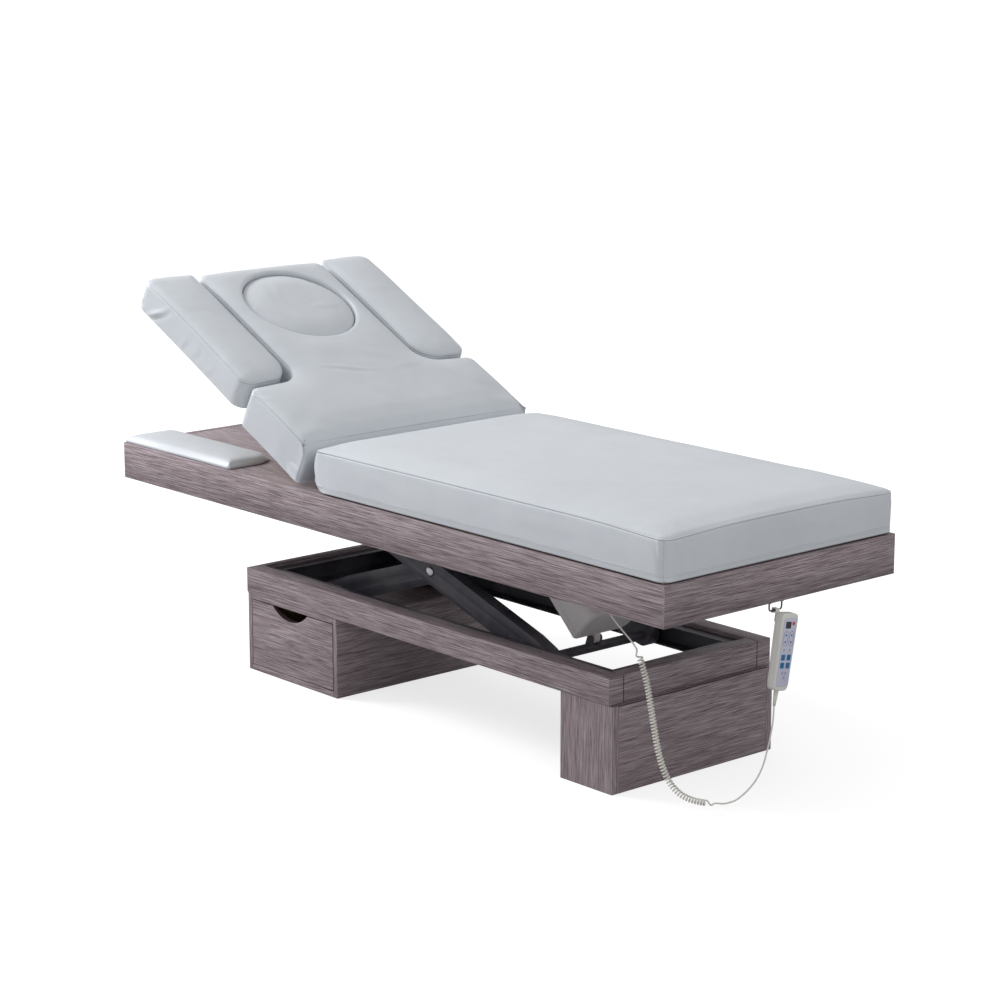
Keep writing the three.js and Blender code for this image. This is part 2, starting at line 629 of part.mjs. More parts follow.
function buildLiftActuator() {
  const group = new THREE.Group();
  group.position.set(motorPin.x, MOTOR_MIDDLE_Y, motorPin.y);
  group.rotation.y = MOTOR_ANGLE;
  bed.add(group);

  const top = HOUSING_RISE + HOUSING_HEIGHT;
  const end = HOUSING_START + HOUSING_LENGTH;
  const corners = [
    { x: -housingNear, y: HOUSING_RISE, r: HOUSING_RIM_ROUND },
    { x: housingFar, y: HOUSING_RISE, r: HOUSING_ROUND },
    { x: housingFar, y: top, r: HOUSING_ROUND },
    { x: -housingNear, y: top, r: HOUSING_ROUND },
  ];
  const rings = [
    { inset: HOUSING_EDGE, z: -end },
    { inset: 0, z: -end + HOUSING_EDGE },
    { inset: 0, z: -HOUSING_START - HOUSING_EDGE },
    { inset: HOUSING_EDGE, z: -HOUSING_START },
  ].map(({ inset, z }) => ({ outline: roundedOutline(corners, inset), z }));
  const housing = loft(rings).rotate([90, 0, 0]).rotate([0, 0, 90]);
  const bore = pinX(0, ROD_OFFSET, TUBE_BORE, [-end - OVERRUN, -BORE_START]);
  const coverX = [-end - OVERRUN, -HOUSING_START - HOUSING_EDGE - COVER_GROOVE];
  const coverZ = [HOUSING_RISE + COVER_LINE, HOUSING_RISE + COVER_LINE + COVER_GROOVE];
  const grooves = [
    block(coverX, [-housingNear - OVERRUN, -housingNear + COVER_GROOVE], coverZ),
    block(coverX, [housingFar - COVER_GROOVE, housingFar + OVERRUN], coverZ),
  ];
  const ear = new THREE.Vector2(-HOUSING_START - MOTOR_LUG_REACH, HOUSING_RISE + MOTOR_EYE_RADIUS);
  const earY = [-MOTOR_LUG_WIDTH / 2, MOTOR_LUG_WIDTH / 2];
  const cutY = [-housingNear, housingFar];
  const tail = lug(ear, new THREE.Vector2(0, 0), MOTOR_EYE_RADIUS, earY);
  const pinHole = pinY(0, 0, MOTOR_PIN_RADIUS + RUNNING_GAP, cutY, SMALL_SIDES);
  const body = housing.subtract(join(grooves)).add(tail).subtract(bore).subtract(pinHole);
  piece(group, 'lift_motor', body, 'motor');

  const tubeX = [-TUBE_MOUTH, -end - SEAT];
  const tube = pinX(0, ROD_OFFSET, TUBE_RADIUS, tubeX);
  const inside = pinX(0, ROD_OFFSET, TUBE_BORE, [tubeX[0] - OVERRUN, tubeX[1] + OVERRUN]);
  piece(group, 'lift_tube', tube.subtract(inside), 'chrome');

  const rod = pinX(0, ROD_OFFSET, ROD_RADIUS, [-ROD_REACH, -ROD_REACH + ROD_LENGTH], SMALL_SIDES);
  const eyeY = [-ROD_EYE_WIDTH / 2, ROD_EYE_WIDTH / 2];
  const eye = pinY(-ROD_REACH, ROD_OFFSET, ROD_EYE_RADIUS, eyeY);
  const eyeHole = pinY(-ROD_REACH, ROD_OFFSET, MOTOR_PIN_RADIUS + RUNNING_GAP, cutY, SMALL_SIDES);
  piece(group, 'lift_rod', rod.add(eye).subtract(eyeHole), 'chrome');
}

// Platform frame: side members, cross bars, roller tracks, pivot plates and backrest forks
const TRACK_WALL = 3;
const TRACK_HEIGHT = 50;
const TRACK_DROP = 10;
const TRACK_MARGIN = 92;
const TRACK_STOP = 40;
const MEMBER_THICKNESS = 20;
const MEMBER_HEIGHT = 40;
const MEMBER_WALL = 3;
const MEMBER_GAP = 8;
const MEMBER_OVERHANG = 65;
const BAR_LENGTH = 30;
const BAR_THICKNESS = 6;
const TOP_PLATE_THICKNESS = 6;
const FORK_PLATE = 7;
const FORK_RADIUS = 12;
const FORK_MIDDLE_Y = 245;
const EYE_THICKNESS = 10;
const HINGE_PIN_RADIUS = 5;
const HINGE_RISE = 35;
const BACK_GAP = 1.5;
const HIP_SETBACK = 6.5;
const HINGE_TO_MATTRESS = 20.6;
const PIVOT_TO_HINGE = 142.4;
const SLOT_GAP = 2;
const trackTop = topZ + ROLLER_RADIUS + SEAT + TRACK_WALL;
const trackZ = [trackTop - TRACK_HEIGHT, trackTop];
const frameTop = trackZ[1] + TRACK_DROP;
const boardZ = [frameTop + SEAT, frameTop + SEAT + TOP_BOARD_THICKNESS];
const platformTop = boardZ[1];
const apronZ = [platformTop - APRON_HEIGHT, platformTop];
const axleReach = SIDE_GAP + ROLLER_WIDTH + SIDE_GAP + AXLE_CAP_THICKNESS;
const trackOuter = innerArm[1] + axleReach + SIDE_GAP + TRACK_WALL;
const trackInner = innerArm[1] + SIDE_GAP / 2;
const trackX = [
  rollerPlace.x - TRACK_MARGIN - ROLLER_RADIUS,
  rollerPlace.x + TRACK_STOP + ROLLER_RADIUS,
];
const memberY = [outerArm[1] + MEMBER_GAP, outerArm[1] + MEMBER_GAP + MEMBER_THICKNESS];
const memberX = [pivotX - MEMBER_OVERHANG, trackX[1] + BAR_LENGTH];
const hingeX = pivotX + PIVOT_TO_HINGE;
const mattressX = [hingeX + HINGE_TO_MATTRESS, platformX[1]];
const hingeZ = platformTop + BACK_GAP + HINGE_RISE;
const forkInside = EYE_THICKNESS / 2 + SIDE_GAP / 2;
const barZ = [frameTop - BAR_THICKNESS, frameTop];

// Backrest actuator: it stays fixed under the platform, and its rod pushes the backrest's lever
const LEVER_RADIUS = 105;
const LEVER_ANGLE = THREE.MathUtils.degToRad(-86.5);
const LEVER_THICKNESS = 10;
const LEVER_EYE = 12;
const BACK_ROD_RISE = 98;
const BACK_ROD_RADIUS = 5.5;
const BACK_ROD_LENGTH = 150;
const BACK_TUBE_RADIUS = 17;
const BACK_TUBE_BORE = 13.5;
const BACK_MOUTH_GAP = 71;
const BACK_HOUSING_START = 246;
const BACK_HOUSING_LENGTH = 115;
const BACK_HOUSING_WIDTH = 70;
const BACK_HOUSING_HEIGHT = 56;
const BACK_HOUSING_ROUND = 10;
const BACK_LUG_PLACE = 16;
const BACK_LUG_WIDTH = 14;
const leverEnd = new THREE.Vector2(
  hingeX + LEVER_RADIUS * Math.cos(LEVER_ANGLE),
  hingeZ + LEVER_RADIUS * Math.sin(LEVER_ANGLE),
);
const backRodZ = hingeZ - BACK_ROD_RISE;
const backMouthX = leverEnd.x + BACK_MOUTH_GAP;
const backMotorStart = leverEnd.x + BACK_HOUSING_START;
const backMotorX = [backMotorStart, backMotorStart + BACK_HOUSING_LENGTH];
const backMotorPinX = backMotorX[1] - BACK_LUG_PLACE / 2;
const backLugY = [-1, 1].map((sign) => {
  const near = BACK_LUG_WIDTH / 2 + SIDE_GAP / 2;
  return sided(sign, near, near + LUG_THICKNESS);
});

function forkPlates(sign) {
  return [-1, 1].map((side) => {
    const span = sided(side, forkInside, forkInside + FORK_PLATE);
    const y = span.map((value) => value + sign * FORK_MIDDLE_Y);
    const outline = new THREE.Shape();
    outline.moveTo(hingeX - FORK_RADIUS, barZ[0]);
    outline.lineTo(hingeX + FORK_RADIUS, barZ[0]);
    outline.lineTo(hingeX + FORK_RADIUS, hingeZ);
    outline.absarc(hingeX, hingeZ, FORK_RADIUS, 0, Math.PI, false);
    outline.closePath();
    return plateY(outline, y);
  });
}

function buildPlatformFrame() {
  const parts = [];
  for (const x of [memberX[0], backMotorX[1] + SIDE_GAP, memberX[1] - BAR_LENGTH]) {
    parts.push(block([x, x + BAR_LENGTH], [-memberY[1], memberY[1]], barZ));
  }
  for (const { sign } of SIDES) {
    const memberZ = [frameTop - MEMBER_HEIGHT, frameTop];
    const outside = block(memberX, sided(sign, ...memberY), memberZ);
    const insideY = sided(sign, memberY[0] + MEMBER_WALL, memberY[1] - MEMBER_WALL);
    const insideZ = [memberZ[0] + MEMBER_WALL, memberZ[1] - MEMBER_WALL];
    const insideX = [memberX[0] - OVERRUN, memberX[1] + OVERRUN];
    parts.push(outside.subtract(block(insideX, insideY, insideZ)));

    const section = channelOutline(trackInner, trackOuter, ...trackZ, TRACK_WALL);
    parts.push(plateX(polygon(section.map(([y, z]) => [sign * y, z])), trackX));
    const gussetY = sided(sign, trackOuter - TRACK_WALL, memberY[0] + MEMBER_WALL);
    for (const x of [trackX[0], trackX[1] - BAR_THICKNESS]) {
      parts.push(block([x, x + BAR_THICKNESS], gussetY, [memberZ[0], frameTop]));
    }
    const plateInner = outerArm[0] - SIDE_GAP - TOP_PLATE_THICKNESS;
    const plateSpan = sided(sign, plateInner, outerArm[0] - SIDE_GAP);
    const plateFoot = pivotX + BRACKET_HEAD_RADIUS;
    const plateZRange = [topZ - BRACKET_HEAD_RADIUS, frameTop];
    parts.push(block([memberX[0], plateFoot], plateSpan, plateZRange));
    const pinSpan = sided(sign, plateInner, memberY[0] + MEMBER_WALL);
    parts.push(pinY(pivotX, topZ, PIVOT_PIN_RADIUS, pinSpan));

    const armX = [hingeX - BAR_LENGTH / 2, hingeX + BAR_LENGTH / 2];
    const armY = sided(sign, memberY[0] + MEMBER_WALL, FORK_MIDDLE_Y + forkInside + FORK_PLATE);
    parts.push(block(armX, armY, barZ));
    parts.push(...forkPlates(sign));
    const pinHalf = forkInside + FORK_PLATE;
    const pinY0 = sign * FORK_MIDDLE_Y;
    const hingeSpan = [pinY0 - pinHalf, pinY0 + pinHalf];
    parts.push(pinY(hingeX, hingeZ, HINGE_PIN_RADIUS, hingeSpan, SMALL_SIDES));
  }
  const motorLug = [backMotorX[1] - BACK_LUG_PLACE, backMotorX[1] + SIDE_GAP + BAR_THICKNESS];
  for (const y of backLugY) {
    parts.push(block(motorLug, y, [backRodZ - LUG_RADIUS, frameTop]));
  }
  const lugSpan = [backLugY[0][0], backLugY[1][1]];
  const backPin = pinY(backMotorPinX, backRodZ, MOTOR_PIN_RADIUS, lugSpan, SMALL_SIDES);
  piece(bed, 'platform_frame', join([...parts, backPin]), 'steel');
}

function buildBackActuator() {
  const half = BACK_HOUSING_WIDTH / 2;
  const bodyX = [backMotorX[0], backMotorX[1] - BACK_LUG_PLACE - LUG_RADIUS];
  const z = [backRodZ - BACK_HOUSING_HEIGHT / 2, backRodZ + BACK_HOUSING_HEIGHT / 2];
  const corners = [
    { x: -half, y: z[0], r: BACK_HOUSING_ROUND },
    { x: half, y: z[0], r: BACK_HOUSING_ROUND },
    { x: half, y: z[1], r: BACK_HOUSING_ROUND },
    { x: -half, y: z[1], r: BACK_HOUSING_ROUND },
  ];
  const outline = new THREE.Shape(roundedOutline(corners, 0));
  const tailX = [bodyX[1] - OVERRUN, backMotorPinX];
  const tailY = [-BACK_LUG_WIDTH / 2, BACK_LUG_WIDTH / 2];
  const tail = block(tailX, tailY, [backRodZ - LUG_RADIUS, backRodZ + LUG_RADIUS]);
  const eye = pinY(backMotorPinX, backRodZ, LUG_RADIUS, tailY);
  const hole = pinY(backMotorPinX, backRodZ, MOTOR_PIN_RADIUS + RUNNING_GAP, [-half, half], SMALL_SIDES);
  const tube = pinX(0, backRodZ, BACK_TUBE_RADIUS, [backMouthX, bodyX[0] + OVERRUN]);
  const boreEnd = bodyX[0] + OVERRUN;
  const bore = pinX(0, backRodZ, BACK_TUBE_BORE, [backMouthX - OVERRUN, boreEnd]);
  const body = join([plateX(outline, bodyX), tail, eye, tube]).subtract(hole).subtract(bore);
  piece(bed, 'back_motor', body, 'motor');

  const rodX = [leverEnd.x, leverEnd.x + BACK_ROD_LENGTH];
  const rod = pinX(0, leverEnd.y, BACK_ROD_RADIUS, rodX, SMALL_SIDES);
  const forkHalf = LEVER_THICKNESS / 2 + SIDE_GAP / 2;
  const clevis = [-1, 1].map((sign) => {
    return pinY(leverEnd.x, leverEnd.y, LEVER_EYE, sided(sign, forkHalf, forkHalf + LUG_THICKNESS));
  });
  const yokeStart = leverEnd.x + LEVER_EYE + SIDE_GAP;
  const yokeX = [yokeStart, yokeStart + LUG_THICKNESS];
  const yokeHalf = forkHalf + LUG_THICKNESS;
  const cheekZ = [leverEnd.y - LUG_THICKNESS, leverEnd.y + LUG_THICKNESS];
  const cheeks = [-1, 1].map((sign) => {
    return block([leverEnd.x, yokeX[1]], sided(sign, forkHalf, yokeHalf), cheekZ);
  });
  const yoke = block(yokeX, [-yokeHalf, yokeHalf], cheekZ);
  const clearZ = [cheekZ[0] - LUG_RADIUS, cheekZ[1] + LUG_RADIUS];
  const clear = block([rodX[0] - OVERRUN, yokeX[0]], [-forkHalf, forkHalf], clearZ);
  const pin = pinY(leverEnd.x, leverEnd.y, MOTOR_PIN_RADIUS, [-yokeHalf, yokeHalf], SMALL_SIDES);
  const whole = join([rod, ...clevis, ...cheeks, yoke]).subtract(clear).add(pin);
  piece(bed, 'back_rod', whole, 'chrome');
}

// Platform boards
const MITRE_GAP = 0.15;
const LEVER_SLOT_HEAD = 58;
const LEVER_SLOT_FOOT = 36;
const CONTROL_BOX = { setback: 405, length: 130, gap: 5, width: 90, height: 54, round: 8 };
const GLAND = { radius: 4.5, length: 6, inset: 25 };
const controlX = [
  platformX[1] - CONTROL_BOX.setback,
  platformX[1] - CONTROL_BOX.setback + CONTROL_BOX.length,
];
const controlNear = APRON_THICKNESS + CONTROL_BOX.gap - PLATFORM_WIDTH / 2;
const controlY = [controlNear, controlNear + CONTROL_BOX.width];
const gland = { y: controlY[0] + GLAND.inset, z: frameTop - CONTROL_BOX.height / 2 };

function buildPlatformBoards() {
  const half = PLATFORM_WIDTH / 2;
  const t = APRON_THICKNESS;
  for (const { sign, name } of SIDES) {
    const plan = polygon(
      [
        [platformX[0] + MITRE_GAP, half],
        [platformX[0] + MITRE_GAP + t, half - t],
        [platformX[1] - MITRE_GAP - t, half - t],
        [platformX[1] - MITRE_GAP, half],
      ].map(([x, y]) => [x, sign * y]),
    );
    piece(bed, `apron_${name}`, plateZ(plan, apronZ), 'wood');
  }
  const ends = [
    { name: 'head', x: platformX[0], inward: 1 },
    { name: 'foot', x: platformX[1], inward: -1 },
  ];
  for (const { name, x, inward } of ends) {
    const plan = polygon([
      [x, -half + MITRE_GAP],
      [x + inward * t, -half + MITRE_GAP + t],
      [x + inward * t, half - MITRE_GAP - t],
      [x, half - MITRE_GAP],
    ]);
    piece(bed, `apron_${name}`, plateZ(plan, apronZ), 'wood');
  }
  const x = [platformX[0] + t + SEAT, platformX[1] - t - SEAT];
  const y = [-half + t + SEAT, half - t - SEAT];
  const cutZ = [boardZ[0] - OVERRUN, boardZ[1] + OVERRUN];
  const slots = SIDES.map(({ sign }) => {
    const reach = forkInside + FORK_PLATE + SLOT_GAP;
    const slotY = [sign * FORK_MIDDLE_Y - reach, sign * FORK_MIDDLE_Y + reach];
    return block([hingeX - FORK_RADIUS - SLOT_GAP, hingeX + FORK_RADIUS + SLOT_GAP], slotY, cutZ);
  });
  const leverHalf = LEVER_THICKNESS / 2 + SLOT_GAP;
  slots.push(block([hingeX - LEVER_SLOT_HEAD, hingeX + LEVER_SLOT_FOOT], [-leverHalf, leverHalf], cutZ));
  piece(bed, 'platform_board', block(x, y, boardZ).subtract(join(slots)), 'wood');
}

function buildControlBox() {
  const { height, round: r } = CONTROL_BOX;
  const corners = [
    { x: controlX[0], y: controlY[0], r },
    { x: controlX[1], y: controlY[0], r },
    { x: controlX[1], y: controlY[1], r },
    { x: controlX[0], y: controlY[1], r },
  ];
  const shape = new THREE.Shape(roundedOutline(corners, 0));
  const box = plateZ(shape, [frameTop - height, frameTop]);
  const stubX = [controlX[1] - GLAND.length, controlX[1] + GLAND.length];
  const stub = pinX(gland.y, gland.z, GLAND.radius, stubX, SMALL_SIDES);
  piece(bed, 'control_box', box.add(stub), 'rubber');
}

// Cushions: each one is lofted from rings of its own outline. A layer gives how far the ring is
// drawn in and how high it stands, as the seams and the padding shape it.
const SEAM_HEIGHT = 98;
const CUSHION_EDGE = 8;
const SIDE_DRAW = 3.5;
const NOSE_STEPS = 6;
const WRAP = 4;
const POCKET_GAP = 0.4;
const MATTRESS_RISE = 3;
const MATTRESS_BOARD = 15;
const MATTRESS_BOARD_INSET = 12;
const MATTRESS_CORNER = 26;
const MATTRESS_HEAD_CORNER = 40;
const MATTRESS_CROWN_SPREAD = 130;
const BACK_CROWN_SHARE = 0.3;
const PAD_CROWN_SPREAD = 40;
const CROWN_RISE_SHARES = [0.3, 0.62, 0.86];
const CROWN_SPREAD_SHARE = 0.55;

// Layers from the underside to the crown, with the seam at its own height
function cushionLayers(bottom, seam, top, spread) {
  const rise = top - seam;
  return [
    { inset: CUSHION_EDGE / 2, z: bottom },
    { inset: 0, z: bottom + CUSHION_EDGE },
    { inset: SIDE_DRAW, z: (bottom + seam) / 2 },
    { inset: 0, z: seam - CUSHION_EDGE / 2 },
    { inset: CUSHION_EDGE / 2, z: seam + rise * CROWN_RISE_SHARES[0] },
    { inset: CUSHION_EDGE * 2, z: seam + rise * CROWN_RISE_SHARES[1] },
    { inset: spread * CROWN_SPREAD_SHARE, z: seam + rise * CROWN_RISE_SHARES[2] },
    { inset: spread, z: top },
  ];
}

// How far a half-round nose has drawn back at a height
function noseInset(z, bottom, top) {
  const radius = (top - bottom) / 2;
  const away = Math.min(Math.abs(z - (bottom + radius)), radius);
  return radius - Math.sqrt(radius ** 2 - away ** 2);
}

function buildMattress() {
  const half = PLATFORM_WIDTH / 2;
  const bottom = platformTop + MATTRESS_RISE;
  const seam = platformTop + SEAM_HEIGHT;
  const top = platformTop + MATTRESS_THICKNESS;
  const corners = [
    { x: mattressX[0], y: -half, r: MATTRESS_HEAD_CORNER },
    { x: mattressX[1], y: -half, r: MATTRESS_CORNER },
    { x: mattressX[1], y: half, r: MATTRESS_CORNER },
    { x: mattressX[0], y: half, r: MATTRESS_HEAD_CORNER },
  ];
  const rings = cushionLayers(bottom, seam, top, MATTRESS_CROWN_SPREAD).map(({ inset, z }) => {
    const nose = Math.max(inset, noseInset(z, bottom, top));
    return { outline: roundedOutline(corners, [inset, inset, inset, nose]), z };
  });
  const cushion = loft(rings);
  const boardX = [mattressX[0] + MATTRESS_THICKNESS / 2, mattressX[1] - MATTRESS_BOARD_INSET];
  const boardY = [-half + MATTRESS_BOARD_INSET, half - MATTRESS_BOARD_INSET];
  const boardTop = platformTop + SEAT + MATTRESS_BOARD;
  const pocketX = [boardX[0] - POCKET_GAP, boardX[1] + POCKET_GAP];
  const pocketY = [boardY[0] - POCKET_GAP, boardY[1] + POCKET_GAP];
  const pocket = block(pocketX, pocketY, [platformTop - OVERRUN, boardTop + POCKET_GAP]);
  piece(bed, 'mattress', cushion.subtract(pocket), 'vinyl');
  piece(bed, 'mattress_board', block(boardX, boardY, [platformTop + SEAT, boardTop]), 'plywood');
}

// Arm pads on the head end of the platform, under the side pads
const ARM_PAD_SETBACK = 287.4;
const ARM_PAD_WIDTH = 146;
const ARM_PAD_THICKNESS = 20;
const ARM_PAD_EDGE = 3;
const ARM_PAD_CORNER = 8;
const ARM_PAD_ROUND = 62;
const ARM_PAD_INSET = 2;

function buildArmPads() {
  for (const { sign, name } of SIDES) {
    const outer = PLATFORM_WIDTH / 2 - ARM_PAD_INSET;
    const x = [platformX[0] + ARM_PAD_INSET, hingeX - ARM_PAD_SETBACK];
    const corners = [
      { x: x[0], y: -outer, r: ARM_PAD_CORNER },
      { x: x[1], y: -outer, r: ARM_PAD_CORNER },
      { x: x[1], y: -outer + ARM_PAD_WIDTH, r: ARM_PAD_ROUND },
      { x: x[0], y: -outer + ARM_PAD_WIDTH, r: ARM_PAD_CORNER },
    ];
    const bottom = platformTop + SEAT;
    const top = platformTop + ARM_PAD_THICKNESS;
    const rings = [
      { inset: ARM_PAD_EDGE / 2, z: bottom },
      { inset: 0, z: bottom + ARM_PAD_EDGE },
      { inset: 0, z: top - 2 * ARM_PAD_EDGE },
      { inset: ARM_PAD_EDGE, z: top - ARM_PAD_EDGE },
      { inset: 3 * ARM_PAD_EDGE, z: top },
    ].map(({ inset, z }) => ({ outline: roundedOutline(corners, inset), z }));
    const near = loft(rings);
    piece(bed, `arm_pad_${name}`, sign < 0 ? near : near.mirror([0, 1, 0]), 'vinyl');
  }
}

// Backrest: built flat about its hinge axis in a group that leans by the backrest angle
const HIP_LENGTH = 255;
const HIP_HALF_WIDTH = 345;
const NECK_HALF_WIDTH = 190;
const HIP_FOOT_CORNER = 12;
const HIP_CORNER = 24;
const NECK_CORNER_SHARE = 0.36;
const HEAD_CORNER = 24;
const HIP_NOSE = 60;
const BACK_BOARD = 20;
const BACK_BOARD_SETBACK = 9;
const TUBE_SIZE = 20;
const TUBE_GAP = 0.6;
const FACE_HOLE_SIDE = 10;
const FACE_HOLE_SHARES = { setback: 0.39, along: 0.304, across: 0.384 };
const PLUG_GAP = 0.6;
const HOLE_SIDES = 40;
const LUG_NOTCH = 16;
const LEVER_WIDTH = 11;
const HIP_BAR_PLACE = 20;
const PAD_ROD_RADIUS = 5;
const PAD_ROD_GAP = 26;
const PAD_ROD_REACH = 120;
const LONG_TUBE_Y = 156;
const backUnder = -HINGE_RISE;
const backTop = backUnder + BACK_THICKNESS;
const footFace = -HIP_SETBACK;
const shoulderDepth = HIP_HALF_WIDTH - NECK_HALF_WIDTH;
const neckCorner = shoulderDepth * NECK_CORNER_SHARE;
const backCrownSpread = shoulderDepth * BACK_CROWN_SHARE;
const neckLength = BACK_LENGTH - HIP_LENGTH;
const hole = {
  place: BACK_LENGTH - neckLength * FACE_HOLE_SHARES.setback,
  along: neckLength * FACE_HOLE_SHARES.along,
  across: 2 * NECK_HALF_WIDTH * FACE_HOLE_SHARES.across,
};
const padRodPlaces = [hole.place - hole.along - PAD_ROD_GAP - TUBE_SIZE, BACK_LENGTH - TUBE_SIZE];
const backrest = new THREE.Group();

// A place along the backrest, counted from its foot face towards the head end
function alongBack(place) {
  return footFace - place;
}

function backCorners() {
  const head = alongBack(BACK_LENGTH);
  const shoulder = alongBack(HIP_LENGTH);
  return [
    { x: footFace, y: HIP_HALF_WIDTH, r: HIP_FOOT_CORNER },
    { x: shoulder, y: HIP_HALF_WIDTH, r: HIP_CORNER },
    { x: shoulder, y: NECK_HALF_WIDTH, r: neckCorner },
    { x: head, y: NECK_HALF_WIDTH, r: HEAD_CORNER },
    { x: head, y: -NECK_HALF_WIDTH, r: HEAD_CORNER },
    { x: shoulder, y: -NECK_HALF_WIDTH, r: neckCorner },
    { x: shoulder, y: -HIP_HALF_WIDTH, r: HIP_CORNER },
    { x: footFace, y: -HIP_HALF_WIDTH, r: HIP_FOOT_CORNER },
  ];
}

function ellipse(along, across) {
  const centreX = alongBack(hole.place);
  return Array.from({ length: HOLE_SIDES }, (_, i) => {
    const angle = (2 * Math.PI * i) / HOLE_SIDES;
    const away = new THREE.Vector2(along * Math.cos(angle), across * Math.sin(angle));
    return away.add(new THREE.Vector2(centreX, FACE_HOLE_SIDE));
  });
}

// Steel frame of the backrest: tubes over the board, hinge eyes and the lever of the actuator
function backFrameSolid(gap) {
  const z = [backUnder + BACK_BOARD + SEAT - gap, backUnder + BACK_BOARD + SEAT + TUBE_SIZE + gap];
  const tube = (place, y) => {
    const x = alongBack(place);
    return block([x - TUBE_SIZE - gap, x + gap], [y[0] - gap, y[1] + gap], z);
  };
  const neck = [-NECK_HALF_WIDTH + WRAP, NECK_HALF_WIDTH - WRAP];
  const hip = FORK_MIDDLE_Y + EYE_THICKNESS / 2;
  const parts = [tube(HIP_BAR_PLACE, [-hip, hip]), ...padRodPlaces.map((place) => tube(place, neck))];
  for (const { sign } of SIDES) {
    const x = [alongBack(padRodPlaces[1]), alongBack(HIP_BAR_PLACE)];
    const y = sided(sign, LONG_TUBE_Y - gap, LONG_TUBE_Y + TUBE_SIZE + gap);
    parts.push(block(x, y, z));
  }
  return join(parts);
}

function buildBackFrame() {
  const parts = [backFrameSolid(0)];
  const tubeZ = backUnder + BACK_BOARD + SEAT + TUBE_SIZE / 2;
  const barMiddle = new THREE.Vector2(alongBack(HIP_BAR_PLACE) - TUBE_SIZE / 2, tubeZ);
  const hinge = new THREE.Vector2(0, 0);
  for (const { sign } of SIDES) {
    const middleY = sign * FORK_MIDDLE_Y;
    const y = [middleY - EYE_THICKNESS / 2, middleY + EYE_THICKNESS / 2];
    parts.push(lug(barMiddle, hinge, TUBE_SIZE / 2, y));
  }
  const leverAngle = LEVER_ANGLE + BACK_ANGLE;
  const end = new THREE.Vector2(LEVER_RADIUS * Math.cos(leverAngle), LEVER_RADIUS * Math.sin(leverAngle));
  const leverY = [-LEVER_THICKNESS / 2, LEVER_THICKNESS / 2];
  parts.push(lug(barMiddle, end, LEVER_WIDTH, leverY));
  const long = [-HIP_HALF_WIDTH, HIP_HALF_WIDTH];
  const cuts = [
    pinY(0, 0, HINGE_PIN_RADIUS + RUNNING_GAP, long, SMALL_SIDES),
    pinY(end.x, end.y, MOTOR_PIN_RADIUS + RUNNING_GAP, long, SMALL_SIDES),
  ];
  for (const place of padRodPlaces) {
    const x = alongBack(place) - TUBE_SIZE / 2;
    cuts.push(pinY(x, barMiddle.y, PAD_ROD_RADIUS + RUNNING_GAP, long, SMALL_SIDES));
  }
  piece(backrest, 'back_frame', join(parts).subtract(join(cuts)), 'steel');
}

function buildBackBoard() {
  const insets = backCorners().map((_, i, all) => (i === all.length - 1 ? BACK_BOARD_SETBACK : WRAP));
  const z = [backUnder, backUnder + BACK_BOARD];
  const board = plateZ(new THREE.Shape(roundedOutline(backCorners(), insets)), z);
  const cutZ = [z[0] - OVERRUN, z[1] + OVERRUN];
  const rim = new THREE.Shape(ellipse(hole.along + PLUG_GAP, hole.across + PLUG_GAP));
  const leverHalf = LEVER_THICKNESS / 2 + SLOT_GAP;
  const slotX = [alongBack(HIP_BAR_PLACE + TUBE_SIZE + LEVER_WIDTH), footFace + OVERRUN];
  const slot = block(slotX, [-leverHalf, leverHalf], cutZ);
  piece(backrest, 'back_board', board.subtract(plateZ(rim, cutZ)).subtract(slot), 'plywood');
  const wider = roundedOutline(backCorners(), insets.map((inset) => inset - POCKET_GAP));
  return plateZ(new THREE.Shape(wider), [z[0] - OVERRUN, z[1] + POCKET_GAP]);
}

